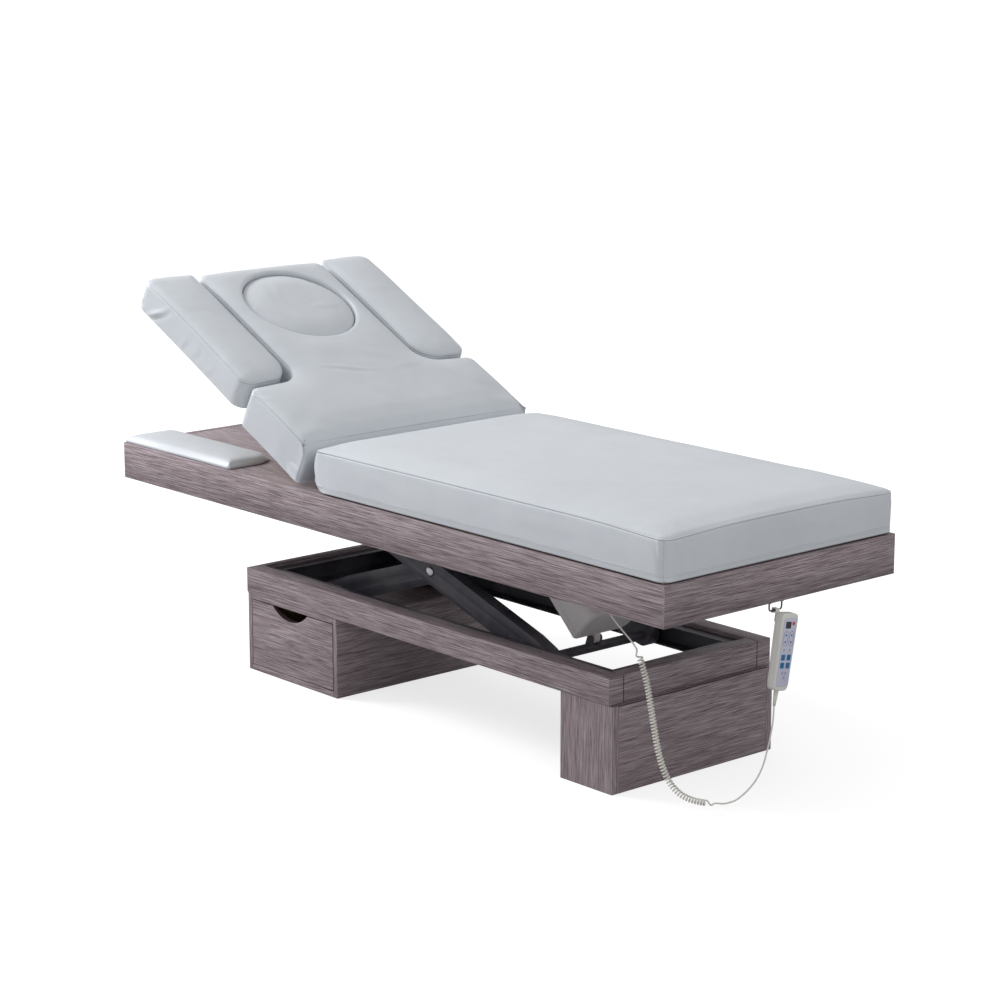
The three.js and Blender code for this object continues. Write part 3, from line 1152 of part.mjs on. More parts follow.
function buildBackCushion(pocket) {
  const seam = backUnder + SEAM_HEIGHT;
  const rings = backLayers(seam).map(({ inset, z }) => {
    const overhang = Math.max(0, z - (backTop - HIP_NOSE));
    const nose = HIP_NOSE - Math.sqrt(HIP_NOSE ** 2 - overhang ** 2);
    const foot = Math.max(inset, nose);
    const insets = backCorners().map((_, i, all) => (i === all.length - 1 ? foot : inset));
    return { outline: roundedOutline(backCorners(), insets), z };
  });
  const cutZ = [backUnder - OVERRUN, backTop + OVERRUN];
  const rim = new THREE.Shape(ellipse(hole.along + PLUG_GAP, hole.across + PLUG_GAP));
  const cuts = [pocket, plateZ(rim, cutZ), backFrameSolid(TUBE_GAP)];
  for (const { sign } of SIDES) {
    const reach = forkInside + FORK_PLATE + SLOT_GAP;
    const y = [sign * FORK_MIDDLE_Y - reach, sign * FORK_MIDDLE_Y + reach];
    cuts.push(pinY(0, 0, LUG_NOTCH, y));
    const x = [alongBack(HIP_BAR_PLACE + TUBE_SIZE), footFace + OVERRUN];
    const eyeHalf = EYE_THICKNESS / 2 + SLOT_GAP;
    const eyeY = [sign * FORK_MIDDLE_Y - eyeHalf, sign * FORK_MIDDLE_Y + eyeHalf];
    cuts.push(block(x, eyeY, [-FORK_RADIUS - SLOT_GAP, FORK_RADIUS + SLOT_GAP]));
    cuts.push(block([-FORK_RADIUS - SLOT_GAP, footFace + OVERRUN], y, [cutZ[0], 0]));
  }
  const leverHalf = LEVER_THICKNESS / 2 + SLOT_GAP;
  const slotX = [alongBack(HIP_BAR_PLACE + TUBE_SIZE + LEVER_WIDTH), footFace + OVERRUN];
  cuts.push(block(slotX, [-leverHalf, leverHalf], [cutZ[0], LEVER_WIDTH]));
  for (const place of padRodPlaces) {
    const x = alongBack(place) - TUBE_SIZE / 2;
    const z = backUnder + BACK_BOARD + SEAT + TUBE_SIZE / 2;
    const span = [-NECK_HALF_WIDTH - OVERRUN, NECK_HALF_WIDTH + OVERRUN];
    cuts.push(pinY(x, z, PAD_ROD_RADIUS + RUNNING_GAP, span, SMALL_SIDES));
  }
  piece(backrest, 'back_cushion', loft(rings).subtract(join(cuts)), 'vinyl');
}

// The foot edge of the hip is a quarter round, so its rings stand closer near the top
function backLayers(seam) {
  const layers = cushionLayers(backUnder, seam, backTop, backCrownSpread);
  const rounding = Array.from({ length: NOSE_STEPS - 1 }, (_, i) => {
    const angle = ((i + 1) / NOSE_STEPS) * (Math.PI / 2);
    return { inset: 0, z: backTop - HIP_NOSE + HIP_NOSE * Math.sin(angle) };
  });
  const below = layers.filter(({ z }) => z < backTop - HIP_NOSE);
  const above = layers.filter(({ z }) => z > seam - CUSHION_EDGE);
  const between = rounding.filter(({ z }) => z < above[0].z - CUSHION_EDGE / 2);
  return [...below, ...between, ...above];
}

function buildFacePlug() {
  const under = backUnder + SEAT;
  const seam = backUnder + SEAM_HEIGHT;
  const rings = cushionLayers(under, seam, backTop, PAD_CROWN_SPREAD).map(({ inset, z }) => {
    return { outline: ellipse(hole.along - inset, hole.across - inset), z };
  });
  piece(backrest, 'face_plug', loft(rings), 'vinyl');
}

// Side pads: cushions on boards whose rods slide into the cross tubes of the backrest
const PAD_FOOT_GAP = 13;
const PAD_OVERHANG = 8;
const PAD_NECK_GAP = 10;
const PAD_RISE = 24;
const PAD_BOARD = 12;
const PAD_CORNER = 30;
const PAD_ROUND_SHARES = { footInner: 0.49, footOuter: 0.23 };
const padInner = NECK_HALF_WIDTH + PAD_NECK_GAP;
const padOuter = HIP_HALF_WIDTH + SIDE_GAP;
const padWidth = padOuter - padInner;
const padX = [alongBack(BACK_LENGTH + PAD_OVERHANG), alongBack(HIP_LENGTH + PAD_FOOT_GAP)];

function buildSidePads() {
  const rodZ = backUnder + BACK_BOARD + SEAT + TUBE_SIZE / 2;
  for (const { sign, name } of SIDES) {
    const corners = [
      { x: padX[0], y: -padOuter, r: PAD_CORNER },
      { x: padX[1], y: -padOuter, r: padWidth * PAD_ROUND_SHARES.footOuter },
      { x: padX[1], y: -padInner, r: padWidth * PAD_ROUND_SHARES.footInner },
      { x: padX[0], y: -padInner, r: PAD_CORNER / 2 },
    ];
    const under = backUnder + PAD_RISE;
    const layers = cushionLayers(under, backUnder + SEAM_HEIGHT, backTop, PAD_CROWN_SPREAD);
    const rings = layers.map(({ inset, z }) => ({ outline: roundedOutline(corners, inset), z }));
    const boardZ2 = [under + SEAT, under + SEAT + PAD_BOARD];
    const wrapped = new THREE.Shape(roundedOutline(corners, WRAP * 2));
    const pocket = new THREE.Shape(roundedOutline(corners, WRAP * 2 - POCKET_GAP));
    const board = plateZ(wrapped, boardZ2);
    const outerEnd = HIP_HALF_WIDTH - PAD_CORNER;
    const rods = padRodPlaces.map((place) => {
      const rodX = alongBack(place) - TUBE_SIZE / 2;
      return pinY(rodX, rodZ, PAD_ROD_RADIUS, [-outerEnd, -PAD_ROD_REACH], SMALL_SIDES);
    });
    const tunnels = padRodPlaces.map((place) => {
      const rodX = alongBack(place) - TUBE_SIZE / 2;
      const span = [-outerEnd - POCKET_GAP, -padInner + OVERRUN];
      return pinY(rodX, rodZ, PAD_ROD_RADIUS + POCKET_GAP, span, SMALL_SIDES);
    });
    const hollow = plateZ(pocket, [under - OVERRUN, boardZ2[1] + POCKET_GAP]);
    const cushion = loft(rings).subtract(join([hollow, ...tunnels]));
    const carrier = join([board, ...rods]);
    const placed = [cushion, carrier].map((solid) => (sign < 0 ? solid : solid.mirror([0, 1, 0])));
    piece(backrest, `side_pad_${name}`, placed[0], 'vinyl');
    piece(backrest, `side_pad_carrier_${name}`, placed[1], 'steel');
  }
}

function buildBackrest() {
  backrest.position.set(hingeX, 0, hingeZ);
  backrest.rotation.y = BACK_ANGLE;
  bed.add(backrest);
  buildBackFrame();
  const pocket = buildBackBoard();
  buildBackCushion(pocket);
  buildFacePlug();
  buildSidePads();
}

// Handset: it hangs by its clip on a wire bail under the foot apron
const BAIL_WIRE = 2;
const BAIL_SETBACK = 10;
const BAIL_MIDDLE_Y = -13;
const BAIL_HALF = 19;
const BAIL_DROP = 20;
const BAIL_BEND = 6;
const BAIL_FOOT = 3;
const BAIL_STEPS = 16;
const HANDSET = { length: 165, width: 50, depth: 25, round: 11, taper: 4, edge: 4 };
const HANDSET_STAND = 10;
const HANDSET_Y = -26;
const HANDSET_HANG = 186.5;
const HANDSET_TILT = THREE.MathUtils.degToRad(9.8);
const KEYPAD = { width: 38, length: 146, rise: 0.7, round: 6 };
const CLIP = { width: 12, thickness: 1.5, screw: 26 };
const RELIEF = { top: 5, bottom: 3.2, length: 34 };
const CORD_RADIUS = 1.7;
const CORD_SIDES = 8;
const apronBottom = apronZ[0];
const handsetX = platformX[1] + HANDSET_STAND;
const handsetZ = apronBottom - HANDSET_HANG;

// A wire bent through points with round bends, as one swept solid
function wire(points, radius, bend, sides, steps) {
  const path = new THREE.CurvePath();
  let from = points[0];
  for (let i = 1; i + 1 < points.length; i += 1) {
    const into = points[i].clone().sub(points[i - 1]).normalize();
    const out = points[i + 1].clone().sub(points[i]).normalize();
    const start = points[i].clone().addScaledVector(into, -bend);
    const end = points[i].clone().addScaledVector(out, bend);
    path.add(new THREE.LineCurve3(from, start));
    path.add(new THREE.QuadraticBezierCurve3(start, points[i], end));
    from = end;
  }
  path.add(new THREE.LineCurve3(from, points[points.length - 1]));
  return sweep(path, radius, sides, steps);
}

// A round section drawn along a curve
function sweep(path, radius, sides, steps) {
  const section = new THREE.Shape();
  for (let i = 0; i < sides; i += 1) {
    const angle = (2 * Math.PI * i) / sides;
    const point = [radius * Math.cos(angle), radius * Math.sin(angle)];
    if (i === 0) section.moveTo(...point);
    else section.lineTo(...point);
  }
  section.closePath();
  return toSolid(new THREE.ExtrudeGeometry(section, { extrudePath: path, steps }));
}

function buildBail() {
  const x = platformX[1] - BAIL_SETBACK;
  const top = apronBottom - SEAT;
  const low = apronBottom - BAIL_DROP;
  const at = (y, z) => new THREE.Vector3(x, y, z);
  const y = [BAIL_MIDDLE_Y - BAIL_HALF, BAIL_MIDDLE_Y + BAIL_HALF];
  const points = [at(y[0], top), at(y[0], low), at(y[1], low), at(y[1], top)];
  const bent = wire(points, BAIL_WIRE, BAIL_BEND, CORD_SIDES, BAIL_STEPS);
  const feet = y.map((place) => {
    return pinZ(x, place, BAIL_WIRE + BAIL_FOOT, [top - BAIL_FOOT, top], SMALL_SIDES);
  });
  piece(bed, 'handset_bail', join([bent, ...feet]), 'steel');
}

function buildHandset() {
  const group = new THREE.Group();
  group.position.set(handsetX, HANDSET_Y, handsetZ);
  group.rotation.x = -HANDSET_TILT;
  bed.add(group);
  const { length, width, depth, round, taper, edge } = HANDSET;
  const half = width / 2;
  const corners = [
    { x: -half + taper, y: 0, r: round },
    { x: half - taper, y: 0, r: round },
    { x: half, y: length, r: round },
    { x: -half, y: length, r: round },
  ];
  const rings = [
    { inset: edge, z: -depth / 2 },
    { inset: 0, z: -depth / 2 + edge },
    { inset: 0, z: depth / 2 - edge / 2 },
    { inset: edge / 2, z: depth / 2 },
  ].map(({ inset, z }) => ({ outline: roundedOutline(corners, inset), z }));
  const stand = (solid) => solid.rotate([90, 0, 0]).rotate([0, 0, 90]);
  piece(group, 'handset_shell', stand(loft(rings)), 'handset');

  const padHalf = KEYPAD.width / 2;
  const padLow = (length - KEYPAD.length) / 2;
  const padCorners = [
    { x: -padHalf, y: padLow, r: KEYPAD.round },
    { x: padHalf, y: padLow, r: KEYPAD.round },
    { x: padHalf, y: padLow + KEYPAD.length, r: KEYPAD.round },
    { x: -padHalf, y: padLow + KEYPAD.length, r: KEYPAD.round },
  ];
  const padShape = new THREE.Shape(roundedOutline(padCorners, 0));
  const face = depth / 2 + SEAT;
  const keypad = plateZ(padShape, [face, face + KEYPAD.rise]);
  piece(group, 'handset_keypad', stand(keypad), 'keypad');

  const back = -depth / 2 - SEAT;
  const barX = platformX[1] - BAIL_SETBACK - handsetX;
  const barDrop = apronBottom - BAIL_DROP - handsetZ;
  const reach = barX - BAIL_WIRE - SIDE_GAP;
  const lean = Math.tan(HANDSET_TILT);
  const barY = (BAIL_MIDDLE_Y - HANDSET_Y) / Math.cos(HANDSET_TILT) - barDrop * lean;
  const seat = (barDrop + BAIL_WIRE + SEAT) / Math.cos(HANDSET_TILT);
  const hookZ = seat + (barY + CLIP.width / 2) * lean;
  const t = CLIP.thickness;
  const strip = polygon([
    [back, hookZ - CLIP.screw],
    [back, hookZ + t],
    [reach - t, hookZ + t],
    [reach - t, hookZ - BAIL_DROP / 2],
    [reach, hookZ - BAIL_DROP / 2],
    [reach, hookZ],
    [back - t, hookZ],
    [back - t, hookZ - CLIP.screw],
  ]);
  const clipY = [barY - CLIP.width / 2, barY + CLIP.width / 2];
  piece(group, 'handset_clip', plateY(strip, clipY), 'steel');

  const { top, bottom, length: reliefLength } = RELIEF;
  const relief = new THREE.CylinderGeometry(top, bottom, reliefLength, SMALL_SIDES);
  relief.rotateX(Math.PI / 2).translate(0, 0, -SEAT - reliefLength / 2);
  piece(group, 'cord_relief', toSolid(relief), 'cord');
}

// Curly cord: a straight run from the control box, the curls, and a straight run to the handset.
// The points are places of the cord's middle line, with X counted from the foot apron's face, for
// this reach in Y from the handset to the gland and this height of the gland.
const CORD_REACH = 274;
const CORD_RISE = 482.2;
const CORD_UPPER = [
  [-268.7, -300, 482.2],
  [-261, -300, 481],
  [-249, -299, 470],
  [-241, -297, 452],
  [-230, -292, 430],
  [-218, -283, 406],
  [-200, -269, 378],
  [-180, -255, 348],
];
const CORD_CURLED = [
  [-180, -255, 348],
  [-168, -249, 318],
  [-153, -244, 268],
  [-143, -246, 238],
  [-131, -248, 198],
  [-120, -249, 157],
  [-110, -249, 126],
  [-99, -246, 96],
  [-87, -239, 69],
  [-73, -224, 46],
  [-61, -206, 33],
  [-51, -186, 25],
  [-43, -165, 19.5],
  [-38, -149, 17],
];
const CORD_LOWER = [
  [-38, -149, 17],
  [-34, -136, 14],
  [-30, -121, 14],
  [-24, -106, 18],
  [-16, -86, 32],
  [-8, -66, 54],
  [-2, -51, 83],
  [3, -42, 121],
  [7, -36, 158],
  [9.4, -33, 188],
];
const CURL_COUNT = 52;
const CURL_STEPS = 8;
const CURL_SIDES = 5;
const CURL_RADIUS = 5.6;
const CURL_LEAD = 1.2;
const SEARCH_STEPS = 4000;
const UPRIGHT_SHARE = 0.9;

function routePlace([x, y, z]) {
  const across = ((y - HANDSET_Y) * (HANDSET_Y - gland.y)) / CORD_REACH;
  return new THREE.Vector3(platformX[1] + x, HANDSET_Y + across, (z * gland.z) / CORD_RISE);
}

// The upper and lower straight runs share their end places and directions with the curls
function cordCurve() {
  const joined = [...CORD_UPPER, ...CORD_CURLED.slice(1), ...CORD_LOWER.slice(1)];
  const places = [...joined.map(routePlace), reliefEnd()];
  return new THREE.CatmullRomCurve3(places, false, 'centripetal');
}

// Where the cord meets the strain relief under the handset
function reliefEnd() {
  const place = new THREE.Vector3(0, 0, -SEAT - RELIEF.length - SEAT);
  place.applyAxisAngle(new THREE.Vector3(1, 0, 0), -HANDSET_TILT);
  return place.add(new THREE.Vector3(handsetX, HANDSET_Y, handsetZ));
}

// A stretch of a curve between two places on it, counted in shares of its length
class Stretch extends THREE.Curve {
  constructor(curve, from, to) {
    super();
    this.curve = curve;
    this.from = from;
    this.to = to;
  }

  getPoint(t, target = new THREE.Vector3()) {
    return this.curve.getPointAt(this.from + (this.to - this.from) * t, target);
  }
}

// The share of a curve's length where it comes nearest to a place
function shareAt(curve, place) {
  let best = 0;
  let least = Infinity;
  for (let i = 0; i <= SEARCH_STEPS; i += 1) {
    const gap = curve.getPointAt(i / SEARCH_STEPS).distanceTo(place);
    if (gap < least) {
      least = gap;
      best = i / SEARCH_STEPS;
    }
  }
  return best;
}

// The winding of the curls about the middle line, with a straight lead at each end
function curledPath(middleLine) {
  const length = middleLine.getLength();
  const lead = (2 * CORD_RADIUS) / length;
  const blend = (CURL_LEAD * 2 * Math.PI * CURL_RADIUS) / CURL_STEPS / length;
  const total = CURL_COUNT * CURL_STEPS;
  const frames = middleLine.computeFrenetFrames(total, false);
  const places = [];
  for (let i = 0; i <= total; i += 1) {
    const share = i / total;
    const u = lead + blend + (1 - 2 * lead - 2 * blend) * share;
    const at = Math.round(u * total);
    const centre = middleLine.getPointAt(u);
    const angle = (2 * Math.PI * i) / CURL_STEPS;
    const out = frames.normals[at].clone().multiplyScalar(Math.cos(angle) * CURL_RADIUS);
    out.addScaledVector(frames.binormals[at], Math.sin(angle) * CURL_RADIUS);
    places.push(centre.add(out));
  }
  const start = [middleLine.getPointAt(0), middleLine.getPointAt(lead)];
  const end = [middleLine.getPointAt(1 - lead), middleLine.getPointAt(1)];
  return [...start, ...places, ...end];
}

// A tube through places, joined as one skin of rings that turn with the path
function ringTube(places, radius, sides) {
  const tangents = places.map((place, i) => {
    const before = places[Math.max(i - 1, 0)];
    const after = places[Math.min(i + 1, places.length - 1)];
    return after.clone().sub(before).normalize();
  });
  const upright = Math.abs(tangents[0].z) > UPRIGHT_SHARE;
  const aside = upright ? new THREE.Vector3(1, 0, 0) : new THREE.Vector3(0, 0, 1);
  let normal = new THREE.Vector3().crossVectors(tangents[0], aside).normalize();
  const skin = [];
  places.forEach((place, i) => {
    normal = normal.clone().addScaledVector(tangents[i], -normal.dot(tangents[i])).normalize();
    const binormal = new THREE.Vector3().crossVectors(tangents[i], normal);
    for (let k = 0; k < sides; k += 1) {
      const angle = (2 * Math.PI * k) / sides;
      const point = place.clone().addScaledVector(normal, radius * Math.cos(angle));
      point.addScaledVector(binormal, radius * Math.sin(angle));
      skin.push(point.x, point.y, point.z);
    }
  });
  const faces = [];
  for (let i = 0; i + 1 < places.length; i += 1) {
    for (let k = 0; k < sides; k += 1) {
      const a = i * sides + k;
      const b = i * sides + ((k + 1) % sides);
      faces.push(a, b, b + sides, a, b + sides, a + sides);
    }
  }
  const last = (places.length - 1) * sides;
  for (let k = 1; k + 1 < sides; k += 1) {
    faces.push(0, k + 1, k, last, last + k, last + k + 1);
  }
  const geometry = new THREE.BufferGeometry();
  geometry.setAttribute('position', new THREE.Float32BufferAttribute(skin, 3));
  geometry.setIndex(faces);
  return toSolid(geometry);
}

// The least gap between turns of a winding, measured between its places
function leastGap(places, radius, apart) {
  let least = Infinity;
  for (let i = 0; i < places.length; i += 1) {
    for (let j = i + apart; j < places.length; j += 1) {
      least = Math.min(least, places[i].distanceTo(places[j]) - 2 * radius);
    }
  }
  return least;
}

const CORD_STEPS = { upper: 22, lower: 34 };

function buildCord() {
  const route = cordCurve();
  const joins = [CORD_CURLED[0], CORD_CURLED[CORD_CURLED.length - 1]].map((place) => {
    return shareAt(route, routePlace(place));
  });
  const gap = SEAT / route.getLength();
  const upper = new Stretch(route, 0, joins[0] - gap);
  const lower = new Stretch(route, joins[1] + gap, 1);
  piece(bed, 'cord_upper', sweep(upper, CORD_RADIUS, CORD_SIDES, CORD_STEPS.upper), 'cord');
  piece(bed, 'cord_lower', sweep(lower, CORD_RADIUS, CORD_SIDES, CORD_STEPS.lower), 'cord');
  const places = curledPath(new Stretch(route, joins[0], joins[1]));
  console.log(`curls: least gap ${leastGap(places, CORD_RADIUS, CURL_STEPS - 2).toFixed(2)} mm`);
  piece(bed, 'cord_curls', ringTube(places, CORD_RADIUS, CURL_SIDES), 'cord');
}

buildRing();
buildBaseFrame();
buildCabinet();
buildDrawer();
buildPedestal();
buildInnerArms();
buildOuterArms();
buildCrossBolts();
placeRollers('lower', rollerPlace, outerArm[1]);
placeRollers('upper', new THREE.Vector2(rollerPlace.x, topZ), innerArm[1]);
buildLiftActuator();
buildPlatformFrame();
buildBackActuator();
buildPlatformBoards();
buildControlBox();
buildMattress();
buildArmPads();
buildBackrest();
buildBail();
buildHandset();
buildCord();

// The frame stands under the middle of the bed's own box, measured without the free cord
const FREE_CORD = ['cord_relief', 'cord_upper', 'cord_curls', 'cord_lower'];

function centreLengthwise() {
  const extent = new THREE.Box3();
  bed.updateMatrixWorld(true);
  bed.traverse((node) => {
    if (node.isMesh && !FREE_CORD.includes(node.name)) extent.expandByObject(node, true);
  });
  bed.position.x = -middle([extent.min.x, extent.max.x]);
}

centreLengthwise();

export default bed;
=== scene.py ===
"""The looks of the spa bed: grain, upholstery, stitching, plating, keys and cord."""
import math

import bpy
import numpy as np
from mathutils import Matrix, Vector, noise
from mathutils.bvhtree import BVHTree
from mathutils.geometry import delaunay_2d_cdt


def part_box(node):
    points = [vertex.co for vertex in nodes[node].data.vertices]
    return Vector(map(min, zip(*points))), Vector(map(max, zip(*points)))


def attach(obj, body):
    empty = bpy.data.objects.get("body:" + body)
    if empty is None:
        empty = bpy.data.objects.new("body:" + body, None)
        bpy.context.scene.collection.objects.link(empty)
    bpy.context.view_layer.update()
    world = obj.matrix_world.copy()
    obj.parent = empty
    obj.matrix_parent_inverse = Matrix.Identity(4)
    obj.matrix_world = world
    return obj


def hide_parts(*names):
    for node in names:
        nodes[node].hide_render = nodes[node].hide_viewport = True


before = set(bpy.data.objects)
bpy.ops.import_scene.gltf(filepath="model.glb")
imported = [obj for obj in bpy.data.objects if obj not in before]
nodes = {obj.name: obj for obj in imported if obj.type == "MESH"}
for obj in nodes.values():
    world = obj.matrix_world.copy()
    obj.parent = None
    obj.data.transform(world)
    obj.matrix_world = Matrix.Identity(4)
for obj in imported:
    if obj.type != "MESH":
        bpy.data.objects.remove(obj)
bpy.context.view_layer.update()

scene = bpy.context.scene
MM = 0.001

# The frame's middle lies this far along X from the middle of the platform
SHIFT = -11.75 * MM

# Camera
EYE = (4.79904, -4.15886, 1.91986)
BACK = (0.73359, -0.64321, 0.21937)
LENS = 100.35
SENSOR = 36.0


def linked(name, data):
    """A new object in the scene."""
    made = bpy.data.objects.new(name, data)
    scene.collection.objects.link(made)
    return made


def aimed(piece, place, way):
    """Put a camera or a light at a place, looking one way."""
    piece.location = place
    piece.rotation_mode = "QUATERNION"
    piece.rotation_quaternion = way.to_track_quat("-Z", "Y")


def make_camera():
    data = bpy.data.cameras.new("camera")
    data.lens = LENS
    data.sensor_width = SENSOR
    data.clip_start = 0.1
    data.clip_end = 300
    scene.camera = linked("camera", data)
    aimed(scene.camera, EYE, -Vector(BACK))


make_camera()


# Helpers for pieces
def new_mesh(name, points, faces):
    data = bpy.data.meshes.new(name)
    data.from_pydata([tuple(p) for p in points], [], faces)
    return data


def add_mesh(name, points, faces, material, body, smooth=True):
    """A new mesh piece that rides on a body."""
    data = new_mesh(name, points, faces)
    data.validate()
    data.polygons.foreach_set("use_smooth", [smooth] * len(data.polygons))
    data.materials.append(material)
    piece = linked(name, data)
    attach(piece, body)
    return piece


def bridge(low, high, count, flip=False):
    """Faces between two closed rings of points, given by the number of each one's first point."""
    faces = []
    for i in range(count):
        j = (i + 1) % count
        face = (low + i, low + j, high + j, high + i)
        faces.append(face[::-1] if flip else face)
    return faces


def caps(low, high, count, flip=False):
    """Faces that close both ends of a bridge."""
    ends = [list(range(low, low + count))[::-1], list(range(high, high + count))]
    return [end[::-1] for end in ends] if flip else ends


def runs(line):
    """How far along a line of places each of them lies."""
    return np.concatenate([[0], np.cumsum(np.linalg.norm(np.diff(line, axis=0), axis=1))])


def places_at(line, at):
    """The places that lie the given distances along a line."""
    far = runs(line)
    return np.column_stack([np.interp(at, far, line[:, k]) for k in range(3)])


def platform_place(p):
    """A place in the bed's own frame, in millimetres from the platform's middle, as the scene's."""
    return Vector(p) * MM + Vector((SHIFT, 0, 0))


# Cord: a straight run from the control box, the curls, and a straight run to the handset
CORD_RADIUS = 1.7 * MM
CORD_UPPER = [
    (696.3, -300, 482.2), (704, -300, 481), (716, -299, 470), (724, -297, 452),
    (735, -292, 430), (747, -283, 406), (765, -269, 378), (785, -255, 348),
]
CORD_CURLED = [
    (785, -255, 348), (797, -249, 318), (812, -244, 268), (822, -246, 238),
    (834, -248, 198), (845, -249, 157), (855, -249, 126), (866, -246, 96),
    (878, -239, 69), (892, -224, 46), (904, -206, 33), (914, -186, 25),
    (922, -165, 19.5), (927, -149, 17),
]
CORD_LOWER = [
    (927, -149, 17), (931, -136, 14), (935, -121, 14), (941, -106, 18), (949, -86, 32),
    (957, -66, 54), (963, -51, 83), (968, -42, 121), (972, -36, 158), (974.4, -33, 188),
]
HANDSET_PLACE = platform_place((975, -26, 251.5))
HANDSET_TILT = math.radians(9.8)
CURVE_STEPS = 24
RELIEF_LENGTH = 34.6
RELIEF_RADII = (5.0, 3.2)
RIB_COUNT = 7
RIB_FIRST = 3.0
RIB_PITCH = 2.9
RIB_RADIUS = 0.75
RIB_SIDES = 24
RIB_SECTION = 8
# Curls open from the straight run over CURL_OPENING turns, while they wind slowly
CURL_TURNS = 62
CURL_STEPS = 14
CURL_RADIUS = 5.6 * MM
CURL_OPENING = 3
CURL_GATHER = 1.5
CURL_SLOW = 0.15


def catmull_rom(points):
    """A centripetal curve through points, as closely spaced places."""
    p = [points[0] * 2 - points[1], *points, points[-1] * 2 - points[-2]]
    places = []
    for i in range(len(p) - 3):
        four = p[i : i + 4]
        knots = [0.0]
        for a, b in zip(four, four[1:]):
            knots.append(knots[-1] + math.sqrt((b - a).length))
        t0, t1, t2, t3 = knots
        for k in range(CURVE_STEPS):
            t = t1 + (t2 - t1) * k / CURVE_STEPS
            between = lambda a, b, low, high: (
                a * ((high - t) / (high - low)) + b * ((t - low) / (high - low))
            )
            a1, a2, a3 = (between(*four[j : j + 2], *knots[j : j + 2]) for j in range(3))
            b1, b2 = between(a1, a2, t0, t2), between(a2, a3, t1, t3)
            places.append(between(b1, b2, t1, t2))
    places.append(points[-1])
    return places


def handset_point(x, y, z):
    """A place in the handset's own frame, in millimetres, as a place of the bed."""
    c, s = math.cos(HANDSET_TILT), math.sin(HANDSET_TILT)
    turned = Vector((x, y * c + z * s, -y * s + z * c)) * MM
    return HANDSET_PLACE + turned


def eased(t):
    """From 0 to 1 with soft ends."""
    t = min(max(t, 0.0), 1.0)
    return t * t * (3 - 2 * t)


def cord_line():
    """The cord's middle line from the control box to the strain relief."""
    points = [platform_place(p) for p in CORD_UPPER + CORD_CURLED[1:] + CORD_LOWER[1:]]
    points.append(handset_point(0, 0, -RELIEF_LENGTH))
    line = catmull_rom(points)
    first, last = (
        min(range(len(line)), key=lambda i: (line[i] - platform_place(p)).length)
        for p in (CORD_CURLED[0], CORD_CURLED[-1])
    )
    curled = np.array([tuple(p) for p in line[first : last + 1]])
    total = CURL_TURNS * CURL_STEPS
    middle = [Vector(p) for p in places_at(curled, np.linspace(0, runs(curled)[-1], total + 1))]
    curls = []
    angle = 0.0
    normal = Vector((0, 0, 1))
    for i, place in enumerate(middle):
        along = (middle[min(i + 1, total)] - middle[max(i - 1, 0)]).normalized()
        normal = (normal - along * normal.dot(along)).normalized()
        other = along.cross(normal)
        turns = min(i, total - i) / CURL_STEPS
        reach = CURL_RADIUS * eased(turns / CURL_OPENING)
        speed = CURL_SLOW + (1 - CURL_SLOW) * eased((turns - CURL_OPENING) / CURL_GATHER)
        angle += 2 * math.pi / CURL_STEPS * speed
        curls.append(place + (normal * math.cos(angle) + other * math.sin(angle)) * reach)
    return line[:first] + curls + line[last + 1 :]


def relief_ribs(material):
    """Rings moulded round the strain relief, close under the handset."""
    points, faces = [], []
    for rib in range(RIB_COUNT):
        down = -RIB_FIRST - rib * RIB_PITCH
        reach = RELIEF_RADII[0] + (RELIEF_RADII[1] - RELIEF_RADII[0]) * -down / RELIEF_LENGTH
        start = len(points)
        for i in range(RIB_SIDES):
            turn = 2 * math.pi * i / RIB_SIDES
            for k in range(RIB_SECTION):
                lift = 2 * math.pi * k / RIB_SECTION
                r = reach + RIB_RADIUS * math.cos(lift)
                z = down + RIB_RADIUS * math.sin(lift)
                points.append(handset_point(r * math.cos(turn), r * math.sin(turn), z))
        for i in range(RIB_SIDES):
            for k in range(RIB_SECTION):
                a, b = i * RIB_SECTION, (i + 1) % RIB_SIDES * RIB_SECTION
                after = (k + 1) % RIB_SECTION
                faces.append([start + v for v in (a + k, b + k, b + after, a + after)])
    piece = add_mesh("cord_relief_ribs", points, faces, material, "platform")
    return piece


def length_of(line):
    return sum((b - a).length for a, b in zip(line, line[1:]))


def make_cord(material):
    line = cord_line()
    data = bpy.data.curves.new("handset_cord", "CURVE")
    data.dimensions = "3D"
    data.bevel_depth = CORD_RADIUS
    data.bevel_resolution = 3
    data.use_fill_caps = True
    spline = data.splines.new("POLY")
    spline.points.add(len(line) - 1)
    for point, place in zip(spline.points, line):
        point.co = (*place, 1)
    data.materials.append(material)
    cord = linked("handset_cord", data)
    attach(cord, "platform")
    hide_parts("cord_upper", "cord_curls", "cord_lower")
    ribs = relief_ribs(material)
    tuple(line[0])
    length_of(line)


# Material tools
def linear(r, g, b):
    """A colour given in screen values from 0 to 255, as a linear colour."""
    def one(v):
        v /= 255
        return v / 12.92 if v <= 0.04045 else ((v + 0.055) / 1.055) ** 2.4
    return (one(r), one(g), one(b), 1)


